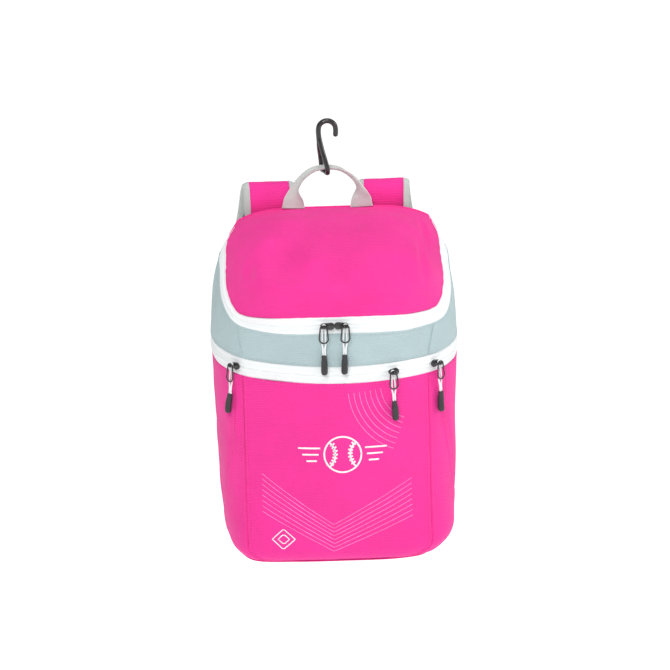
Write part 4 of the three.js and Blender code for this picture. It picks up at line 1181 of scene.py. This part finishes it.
def ribbon(name, points, across, replaces):
    """Webbing along points, with its width as near to a direction as it can be."""
    curve = RoundCurve(points)
    part = np.linspace(0, 1, 12 * (len(points) - 1) + 1)
    along = curve.tangent(part)
    side_ = square_to(across, along)
    stations = (curve.point(part), side_, np.cross(side_, along))
    sweep(name, stations, webbing_outline(WEBBING_WIDTH, WEBBING_WALL), webbing_cloth, 40,
          [replaces])


def webbing_outline(width, wall):
    """A flat band with rounded edges and a slightly thicker selvedge."""
    across = np.linspace(-1, 1, 13)
    half = wall / 2 * np.where(np.abs(across) > 0.9, 0.7, np.where(np.abs(across) > 0.7, 1.05, 1.0))
    top = np.stack([across * width / 2, half], -1)
    return np.concatenate([top, top[::-1] * (1, -1)])


def turn_round(at, along, out, middle, radius, towards):
    middle = middle + towards * BUCKLE_BAR / 4
    return [
        at + along * (middle + towards * radius * math.cos(turn)) + out * radius * math.sin(turn)
        for turn in np.linspace(-math.pi / 2, math.pi / 2, 5)
    ]


def buckle(label, side):
    at, along, side_, _ = strap_end(side)
    end_bar = BUCKLE_BAR * 2 + UPPER_SLOT + LOWER_SLOT
    bars = [BUCKLE_BAR / 2, BUCKLE_BAR * 1.5 + UPPER_SLOT, end_bar + BUCKLE_BAR / 2]
    half = BUCKLE_WIDTH / 2 - BUCKLE_BAR / 2

    def straight(start, stop, count, flat):
        line = start + (stop - start) * np.linspace(0, 1, count)[:, None]
        return tube(line, BUCKLE_BAR / 2, flat=flat, start_side=np.cross(stop - start, BAR_START))

    parts = []
    for down in bars:
        centre = at + along * (TAB_DROP + down)
        parts.append(straight(centre - side_ * half, centre + side_ * half, 9, 0.95))
    for edge in (-half, half):
        ends = [at + along * (TAB_DROP + down) + side_ * edge for down in (bars[0], bars[2])]
        parts.append(straight(*ends, 13, 1.1))
    points, faces = merged(parts)
    new_object(f"buckle_{label}", points, faces, plastic, [f"ladder_lock_{label}"], sharp=40)


def strap_webbing(label, side):
    at, along, side_, out = strap_end(side)

    def place(down, away):
        return at + along * down + out * away

    bar_middle = TAB_DROP + BUCKLE_BAR / 2
    tab = [place(GAP, -STRAND_OFFSET), *turn_round(at, along, out, bar_middle, STRAND_OFFSET, 1)]
    tab.append(place(GAP, STRAND_OFFSET))
    ribbon(f"tab_{label}", tab, side_, f"strap_tab_{label}")
    bar_middle = TAB_DROP + BUCKLE_BAR + UPPER_SLOT + BUCKLE_BAR / 2
    below = TAB_DROP + 3 * BUCKLE_BAR + UPPER_SLOT + LOWER_SLOT
    seat = GAP + WEBBING_WALL / 2
    anchor_across = side * (HALF_WIDTH * STRAP_ROWS[-1][0] + GAP)

    def anchor(height, back):
        return np.array([anchor_across + sway(height), back, height])

    points = [
        anchor(ANCHOR_HEIGHT, seat),
        anchor(ANCHOR_HEIGHT + ANCHOR_LENGTH / 2, seat),
        anchor(ANCHOR_HEIGHT + ANCHOR_LENGTH, seat + GAP),
        anchor(ANCHOR_HEIGHT + 2 * ANCHOR_LENGTH, seat + STAND_OFF * 0.2),
        place(below + 4 * BUCKLE_BAR, -STRAND_OFFSET - WEBBING_WALL),
        place(below, -STRAND_OFFSET),
        *turn_round(at, along, out, bar_middle, STRAND_OFFSET, -1),
        place(below, STRAND_OFFSET),
        place(below + TAIL_LENGTH / 2, STRAND_OFFSET + WEBBING_WALL),
        place(below + TAIL_LENGTH, STRAND_OFFSET + 2 * WEBBING_WALL),
    ]
    ribbon(f"webbing_{label}", points, side_, f"strap_webbing_{label}")


for label, side in (("left", -1), ("right", 1)):
    buckle(label, side)
    strap_webbing(label, side)


# The grab handle: a flat webbing whose middle is folded round and gripped by the hook
def handle():
    underside = HANDLE_RISE + GAP + HANDLE_WALL / 2
    half = []
    for i, (across, rise, wide, turn) in enumerate(HANDLE_ROWS):
        height = BAG_HEIGHT + (GAP if i == 0 else rise * underside)
        half.append((across * HANDLE_SPAN / 2, height, wide * HANDLE_WIDTH, math.radians(turn)))
    rows = [(-x, z, w, t) for x, z, w, t in half] + [(x, z, w, math.pi - t) for x, z, w, t in reversed(half)]
    seat = -(BACK_WALL - HANDLE_WALL / 2 - GAP)
    curve = RoundCurve([(x, seat * (x * 2 / HANDLE_SPAN) ** 2, z) for x, z, _, _ in rows])
    part = np.linspace(0, 1, 241)
    places = np.linspace(0, 1, len(rows))
    turn = softened(places, [row[3] for row in rows], 0.012)(part)[:, None]
    wide = softened(places, [row[2] for row in rows], 0.012)(part)
    along = curve.tangent(part)
    backward = np.array([0.0, 1.0, 0.0])
    flat = unit(np.cross(backward, along))
    side_ = flat * np.cos(turn) - backward * np.sin(turn)
    side_ = square_to(side_, along)
    out = np.cross(side_, along)
    # Where the webbing is narrower than it is cut, it is folded into a shallow trough
    folded = np.sqrt(np.maximum(0, 1 - (wide / HANDLE_WIDTH) ** 2))
    across = np.linspace(-1, 1, 21)
    trough = folded[:, None] * (np.abs(across)[None] ** 2 - 0.5) * 3.4
    wall = HANDLE_WALL * 0.9
    edge = np.where(np.abs(across) > 0.94, 0.7, 1.0)
    top = np.stack([across[None] * wide[:, None] / 2, trough + wall / 2 * edge], -1)
    low = np.stack([across[None] * wide[:, None] / 2, trough - wall / 2 * edge], -1)
    outline = np.concatenate([top, low[:, ::-1]], axis=1)
    stations = (curve.point(part), side_, out)
    sweep("grab_handle", stations, outline, webbing_cloth, sharp=45, replaces=["handle"])
    lines = []
    for x in (0.82, -0.82):
        index = np.abs(across - x).argmin()
        for lay, sign in ((top, 1), (low, -1)):
            line = stations[0] + side_ * lay[:, index, :1] + out * lay[:, index, 1:]
            lines.append((line, out * sign))
    stitches("handle_stitches", lines, grey_thread, 2.6, 1.3, 0.5, 0.3)


handle()


# Zip pulls, each in a frame with X to the side, Z up and -Y away from the bag
SLIDER_SEAT = COIL_RISE + 0.4
CORD_LAYER = COIL_RISE + 2 * GAP + SLIDER_WALL + 2 * GAP
RING_LAYER = CORD_LAYER + CORD_STRAND + GAP
HEAD_LAYER = RING_LAYER + 2 + GAP
PULL_TOP = NECK / 2 + GAP
CORD_MIDDLE = CORD_LAYER + CORD_STRAND / 2
SLIDER_ROUND = 1.1
UPPER_SLIDER_MORE = 4.2

# The grip: share of its length and share of its width, and where its two grooves lie
GRIP_PROFILE = [
    (0, 0.55), (0.03, 0.74), (0.07, 0.8), (0.35, 0.93), (0.8, 1), (0.93, 0.9), (0.98, 0.62), (1, 0.2),
]
GRIP_GROOVES = (0.16, 0.24)


def drop_line(top_radius, low_radius, top, bottom, steps):
    turn = np.linspace(0, math.pi, steps)
    upper = np.stack([top_radius * np.cos(turn), top - top_radius + top_radius * np.sin(turn)], -1)
    lower = np.stack([-low_radius * np.cos(turn), bottom + low_radius - low_radius * np.sin(turn)], -1)
    return np.vstack([upper, lower])


def rounded_plate(outline, low, high, round_):
    """A flat body with rounded edges between two layers in front of the bag."""
    middle = outline.mean(axis=0)
    size = np.abs(outline - middle).max()
    levels = [(low, 0), (high - round_, 0), (high - round_ * 0.3, 0.3), (high, 1)]
    rings = []
    for layer, inwards in levels:
        flat = middle + (outline - middle) * (1 - inwards * round_ / size)
        rings.append(np.stack([flat[:, 0], np.full(len(flat), -layer), flat[:, 1]], -1))
    return np.vstack(rings), tube_faces(len(levels), len(outline))


def slider_parts(nose, length):
    half = SLIDER_HEIGHT / 2
    upright = drop_line(half * 0.72, half, SLIDER_TAIL, SLIDER_TAIL - length, 14)
    outline = np.stack([-upright[:, 1] * nose, upright[:, 0]], -1)
    body = rounded_plate(outline, SLIDER_SEAT, SLIDER_SEAT + SLIDER_WALL, SLIDER_ROUND)
    arch = [
        (-3.4, 3.6), (-3.2, 6.4), (-1.6, HEAD_LAYER + 0.2),
        (1.6, HEAD_LAYER + 0.5), (4.6, 6.4), (7.4, 3.8),
    ]
    bridge = RoundCurve([(x * nose, -layer, 0) for x, layer in arch]).point(np.linspace(0, 1, 40))
    neck = [(0, -layer, 0) for layer in np.linspace(3.2, HEAD_LAYER + 0.6, 6)]
    return [body, tube(bridge, 1.25, 12), tube(neck, 1.3, 12)]


def ring_parts():
    half_rim = RING_RIM / 2
    top = PULL_TOP + RING_RIM - half_rim
    bottom = PULL_TOP + RING_RIM - RING_HEIGHT + half_rim
    line = drop_line(RING_WIDTH * 0.4 - half_rim, RING_WIDTH / 2 - half_rim, top, bottom, 22)
    path = np.stack([line[:, 0], np.full(len(line), -(RING_LAYER + half_rim)), line[:, 1]], -1)
    return [tube(path, half_rim, 12, closed=True)]


def cord_parts():
    top = PULL_TOP + CORD_STRAND
    lower = top - CORD_HEIGHT
    radius = CORD_LOOP / 2 - CORD_STRAND / 2
    turn = np.linspace(0, math.pi, 13)
    loop = np.stack([radius * np.cos(turn), top - CORD_LOOP / 2 + radius * np.sin(turn)], -1)
    heights = np.linspace(top - CORD_LOOP / 2, lower, 60)[1:]
    wide = np.interp(heights, [lower, lower + 10, lower + 16, top], [1.3, 1.3, 2.4, radius])
    down = np.stack([-wide, heights], -1)
    line = np.vstack([down[::-1] * (-1, 1), loop, down])
    path = np.stack([line[:, 0], np.full(len(line), -CORD_MIDDLE), line[:, 1]], -1)
    return [tube(path, CORD_STRAND / 2 - 0.05, 10)]


def grip_parts(bend):
    top = PULL_TOP + CORD_STRAND - CORD_HEIGHT + 1
    place = np.linspace(0, 1, 34)
    profile = np.interp(place, *zip(*GRIP_PROFILE))
    radius = profile * GRIP_WIDTH / 2
    for groove in GRIP_GROOVES:
        radius = radius - 0.35 * bump((place - groove) * GRIP_HEIGHT, 0.6)
    lean = bend * np.sin(place * math.pi * 0.75) ** 2
    path = np.stack([lean, np.full(len(place), -CORD_MIDDLE), top - place * GRIP_HEIGHT], -1)
    return [tube(path, radius, 18, start_side=(1, 0, 0))]


def turn_about(axis, angle):
    return np.array(Matrix.Rotation(angle, 3, axis))


def zip_pull(name, zip_, share, nose, swing, lift, bend):
    share = np.array([share])
    length = SLIDER_LENGTH
    if zip_ == "upper":
        seat = upper_point(share, 0)[0]
        away = plan_away(lower_share(share), np.array([BAND_BOTTOM]))[0]
        length += UPPER_SLIDER_MORE
    else:
        seat = wall_point(share, LOWER_ZIP)[0]
        away = plan_away(share, np.array([LOWER_ZIP]))[0]
    fixed = turn_about("Z", math.atan2(away[0], -away[1]))
    hanging = fixed @ turn_about("Y", math.radians(swing)) @ turn_about("X", math.radians(-lift))
    for kind, parts, material, pose, slot in [
        ("slider", slider_parts(nose, length), metal, fixed, "hard_plastic"),
        ("ring", ring_parts(), metal, hanging, "pull_ring"),
        ("cord", cord_parts(), white_cord, hanging, "pull_cord"),
        ("grip", grip_parts(bend), rubber, hanging, "grip_rubber"),
    ]:
        points, faces = merged(parts)
        new_object(f"pull_{kind}_{name}", points @ pose.T + seat, faces, material,
                   [f"zip_{kind}_{name}"], sharp=42)


for row in PULLS:
    zip_pull(*row)


# The hook: a crook on a stem that splits into a loop round the handle
def hook():
    radius = CROOK_WIDTH / 2
    crook_top = HANG + CROOK_ROD / 2
    centre = crook_top - radius
    split_height = BAR_TOP + LEG_WIDTH * 6.3
    leg_half = LEG_SPREAD / 2
    low = BAR_TOP - LEG_WIDTH / 2
    arc = [(radius * math.cos(t), 0, centre + radius * math.sin(t)) for t in np.linspace(0, math.pi, 7)]
    tip = (radius, 0, crook_top - CROOK_TIP)
    crook = RoundCurve([tip, *arc, (-radius * 0.93, 0, split_height)])
    part = np.linspace(0, 1, 110)
    run = part * crook.length
    thin = CROOK_ROD / 2 * np.sqrt(np.clip(1 - (1 - np.minimum(run / 3.6, 1)) ** 2, 0.02, 1))
    parts = [tube(crook.point(crook.part_at(part)), thin, 20, flat=0.92)]
    high = split_height + STEM_SPLIT * 0.25
    loop = RoundCurve([
        (-radius * 0.95, 0, high),
        (-radius * 0.62, -leg_half * 0.5, split_height - STEM_SPLIT * 0.45),
        (-radius * 0.3, -leg_half * 0.85, split_height - STEM_SPLIT),
        (0, -leg_half, low + LEG_WIDTH * 0.8),
        (0, -leg_half * 0.8, low),
        (-radius * 0.28, 0, low),
        (-radius * 0.56, leg_half * 0.8, low),
        (-radius * 0.58, leg_half, low + LEG_WIDTH * 0.8),
        (-radius * 0.72, leg_half * 0.85, split_height - STEM_SPLIT),
        (-radius * 0.88, leg_half * 0.5, split_height - STEM_SPLIT * 0.45),
        (-radius * 0.95, 0, high),
    ])
    parts.append(tube(loop.point(loop.part_at(np.linspace(0, 1, 170))), LEG_WIDTH / 2, 18))
    points, faces = merged(parts)
    new_object("hanging_hook", points, faces, plastic, ["hook"], sharp=45)


hook()


# The back: a foam pad under mesh, sewn down along channels
BACK_LINES_ACROSS = (-0.36, 0.36)
BACK_LINES_HEIGHT = (0.3, 0.62)
BACK_BOTTOM = 0.6
BACK_REST = 3.6
BACK_PUFF = 2.4
CHANNEL_DEPTH = 2.6
CHANNEL_REACH = 4.5
FRAME_INSET = 20
BACK_RIM = 9


def back_sides():
    """The heights of rows on the back's sides, and where the two sides lie at them."""
    ends = np.array([-1.0, 1.0])
    rows = [wall_point(ends, z) for z in (*np.linspace(BACK_BOTTOM, WALL_TOP, 40), BAND_BOTTOM)]
    rows += [band_point(ends, part) for part in (0.25, 0.5, 0.75, 1.0)]
    rows = np.array([*rows, upper_point(ends, TAPE_HALF)])
    return rows[..., 2].mean(axis=1), rows[:, 0, 0], rows[:, 1, 0]


def back_grooves(across, part, edge):
    """How deep the sewn channels of the back go, from 0 to 1."""
    groove = 0
    for line in BACK_LINES_ACROSS:
        channel = bump((across[None] - line) * 130, CHANNEL_REACH)
        groove = np.maximum(groove, channel * smoothstep(edge, 18, 32))
    for line in BACK_LINES_HEIGHT:
        middle = np.abs(across)[None] < BACK_LINES_ACROSS[1]
        groove = np.maximum(groove, bump((part - line) * BAG_HEIGHT, CHANNEL_REACH) * middle)
    return np.maximum(groove, bump(edge - FRAME_INSET, 4.0))


def back_pad():
    across = np.sin(np.linspace(-1, 1, 97) * math.pi / 2)
    part = spaced(1, 1 / 110, 1 / 400)[:, None]
    z = BACK_BOTTOM + (lid_point(across, 0.0)[:, 2][None] - BACK_BOTTOM) * part
    levels, left, right = back_sides()
    inset = 0.5
    low, high = np.interp(z, levels, left), np.interp(z, levels, right)
    x = low + inset + (high - low - 2 * inset) * (across[None] + 1) / 2
    back = Panel(np.stack([x, np.zeros_like(x), z], -1), outward=np.array([0, 1.0, 0]))
    edge = np.minimum.reduce(back.edges)
    puff = smoothstep(edge, 0, 14)
    sag = ripple(back.points, 101, 60) * 0.35 * puff
    y = -BACK_REST + BACK_PUFF * np.sqrt(puff) - CHANNEL_DEPTH * back_grooves(across, part, edge) + sag
    outer, inner = back.points.copy(), back.points.copy()
    outer[..., 1] = np.minimum(y, -0.9)
    inner[..., 1] = -BACK_WALL
    faces, rim = shell_faces(*outer.shape[:2])
    points = np.vstack([outer.reshape(-1, 3), inner.reshape(-1, 3)])
    piece = new_object("back_cloth", points, faces, [mesh_cloth, pink_lining],
                       ["back_panel"], sharp=70)
    # The mesh ends at a pink rim
    face_edge = (edge[:-1, :-1] + edge[1:, 1:]).ravel() / 2
    for polygon in piece.data.polygons:
        seen = polygon.index < len(face_edge)
        polygon.material_index = 0 if seen and face_edge[polygon.index] > BACK_RIM else 1
    swell(piece, 3.0, 0.8)
    # A cord of folded cloth runs round the rim
    path = outer.reshape(-1, 3)[rim] + (0, -1.2, 0)
    path = path - unit(path - path.mean(axis=0)) * 0.6
    points, faces = tube(path, 1.5, 8, closed=True)
    new_object("back_piping", points, faces, pink_lining)
    lines = []
    for line in BACK_LINES_ACROSS:
        lines.append(outer[14:-14, int(np.abs(across - line).argmin())])
    for line in BACK_LINES_HEIGHT:
        inside = np.flatnonzero(np.abs(across) < BACK_LINES_ACROSS[1])
        lines.append(outer[int(np.abs(part[:, 0] - line).argmin()), inside])
    rows = [(line, np.tile([0.0, 1.0, 0.0], (len(line), 1))) for line in lines]
    stitches("back_stitches", rows, black_thread, 3.4, 1.4, 0.7, 0.5)


back_pad()


# The print on the front: a plain pattern of thin lines, a ball with bars and a small diamond
def front_place(across, height):
    """Points and normals on the front cloth at distances from its middle and heights in mm."""
    across, height = np.broadcast_arrays(np.asarray(across, float), np.asarray(height, float))
    heights = front.points[:, 0, 2]
    rows = np.interp(height, heights, np.arange(len(heights)))
    columns = np.empty(len(across))
    for i, (x, row) in enumerate(zip(across, rows)):
        line = front.across[int(row)]
        columns[i] = np.interp(line[-1] / 2 + x, line, np.arange(len(line)))
    last_row, last_column = front.across.shape
    return front.at(columns / (last_column - 1), rows / (last_row - 1))


def printed(name, lines, width, material, rise):
    """Thin printed lines, each a list of (across, height) in mm, lying on the front cloth."""
    parts = []
    for line in lines:
        line = np.array(line, float)
        run = run_along(line)
        even = np.linspace(0, run[-1], max(3, int(run[-1] / 3.5)))
        x, z = np.interp(even, run, line[:, 0]), np.interp(even, run, line[:, 1])
        at, normals = front_place(x, z)
        along = unit(np.gradient(at, axis=0))
        side_ = unit(np.cross(normals, along))
        corners = [(-0.5, -0.15), (0.5, -0.15), (0.42, rise), (-0.42, rise)]
        grid = np.stack([at + side_ * (width * a) + normals * b for a, b in corners], 1)
        parts.append((grid.reshape(-1, 3), tube_faces(len(at), 4)))
    points, faces = merged(parts)
    new_object(name, points, faces, material)


def arc(centre, radius, start, stop, steps=40):
    turn = np.radians(np.linspace(start, stop, steps))
    return np.stack([centre[0] + radius * np.cos(turn), centre[1] + radius * np.sin(turn)], -1)


def print_front():
    lines = []
    for i in range(8):
        drop = i * 7.5
        lines.append([(-104, 128 - drop), (-8, 58 - drop * 0.72), (100, 118 - drop)])
    for i in range(7):
        lines.append(arc((112, 252), 52 + i * 7.5, 184, 248, 30))
    lines = [[(x, z) for x, z in line if abs(x) < 112 and 20 < z < 250] for line in lines]
    printed("thin_lines", [line for line in lines if len(line) > 2], 0.9, pale_print, 0.12)
    ball = (6, 158)
    emblem = [arc(ball, 25, 0, 360, 90)]
    for side in (-1, 1):
        middle = (ball[0] + side * 33, ball[1])
        facing = 180 if side > 0 else 0
        seam = arc(middle, 23, facing - 46, facing + 46, 24)
        emblem.append(seam)
        for point in seam[2:-2:3]:
            out = unit(np.array(point) - middle)
            emblem.append([point - out * 3.2 + (0, 1.4), point, point + out * 3.2 + (0, 1.4)])
        for i, length in enumerate((30, 22, 14)):
            start = ball[0] + side * (30 + i * 2.5)
            height = ball[1] + 9 - i * 9
            emblem.append([(start + side * length * share, height) for share in (0, 0.5, 1)])
    printed("ball_emblem", emblem, 2.6, white_print, 0.16)
    corner = (-76, 38)
    badge = []
    for size in (14, 7):
        ring = [(size, 0), (0, size), (-size, 0), (0, -size), (size, 0)]
        badge.append([(corner[0] + x * 1.1, corner[1] + y) for x, y in ring])
    printed("diamond_badge", badge, 1.4, white_print, 0.16)


print_front()

# The stage, the light and the camera
CAMERA_AZIMUTH = -5
CAMERA_ELEVATION = 20
CAMERA_DISTANCE = 20.0
PHOTO_SIZE = 670
MM_PER_PIXEL = 1.356
SENSOR = 36
# Where the base's middle lies in the photograph, in pixels
BASE_PIXEL = (327.0, 511.3)
FLOOR_REACH = 40.0
FLOOR_HEIGHT = -1.25
FLOOR_GLOW = 0.6
WORLD_LIGHT = 0.43
LIT_POINT = (0, -0.1, -0.3)

# Lights: name, azimuth, elevation, distance and size in m, power in W
LIGHTS = [
    ("key", -18, 42, 3.0, 0.8, 31),
    ("rim", 82, 22, 2.6, 0.9, 20),
    ("top", 10, 72, 2.8, 1.2, 22),
]


def aim(azimuth, elevation):
    """The direction back to a viewer, with the view's right and up."""
    a, e = math.radians(azimuth), math.radians(elevation)
    back = Vector((math.sin(a) * math.cos(e), -math.cos(a) * math.cos(e), math.sin(e)))
    right = Vector((math.cos(a), math.sin(a), 0))
    return back, right, back.cross(right)


def place_aimed(name, data, target, back, distance):
    """Links an object that looks at a target from a distance."""
    piece = bpy.data.objects.new(name, data)
    piece.location = target + back * distance
    piece.rotation_euler = back.to_track_quat("Z", "Y").to_euler()
    bpy.context.scene.collection.objects.link(piece)
    return piece


def make_camera():
    back, right, up = aim(CAMERA_AZIMUTH, CAMERA_ELEVATION)
    across = (PHOTO_SIZE / 2 - BASE_PIXEL[0]) * MM_PER_PIXEL * MM
    upward = (BASE_PIXEL[1] - PHOTO_SIZE / 2) * MM_PER_PIXEL * MM
    target = Vector((0, 0, -HANG * MM)) + right * across + up * upward
    data = bpy.data.cameras.new("camera")
    data.sensor_width = SENSOR
    data.lens = SENSOR * CAMERA_DISTANCE / (PHOTO_SIZE * MM_PER_PIXEL * MM)
    data.clip_end = 100
    bpy.context.scene.camera = place_aimed("camera", data, target, back, CAMERA_DISTANCE)


def area_light(name, azimuth, elevation, distance, size, power):
    data = bpy.data.lights.new(name, "AREA")
    data.shape = "DISK"
    data.size = size
    data.energy = power
    back, _, _ = aim(azimuth, elevation)
    place_aimed(name, data, Vector(LIT_POINT), back, distance)


def make_stage():
    mesh = bpy.data.meshes.new("floor")
    corners = [(-1, -1), (1, -1), (1, 1), (-1, 1)]
    points = [(x * FLOOR_REACH, y * FLOOR_REACH, FLOOR_HEIGHT) for x, y in corners]
    mesh.from_pydata(points, [], [(0, 1, 2, 3)])
    floor = bpy.data.objects.new("floor", mesh)
    bpy.context.scene.collection.objects.link(floor)
    material, _, shader = base_material("pale floor", 0.9)
    shader.inputs["Base Color"].default_value = (0.95, 0.95, 0.95, 1)
    shader.inputs["Emission Color"].default_value = (1, 1, 1, 1)
    shader.inputs["Emission Strength"].default_value = FLOOR_GLOW
    mesh.materials.append(material)
    world = bpy.data.worlds.new("studio")
    world.use_nodes = True
    background = world.node_tree.nodes["Background"]
    background.inputs["Color"].default_value = (1, 1, 1, 1)
    background.inputs["Strength"].default_value = WORLD_LIGHT
    bpy.context.scene.world = world
    for light in LIGHTS:
        area_light(*light)


make_camera()
make_stage()
bpy.context.scene.view_settings.view_transform = "Standard"
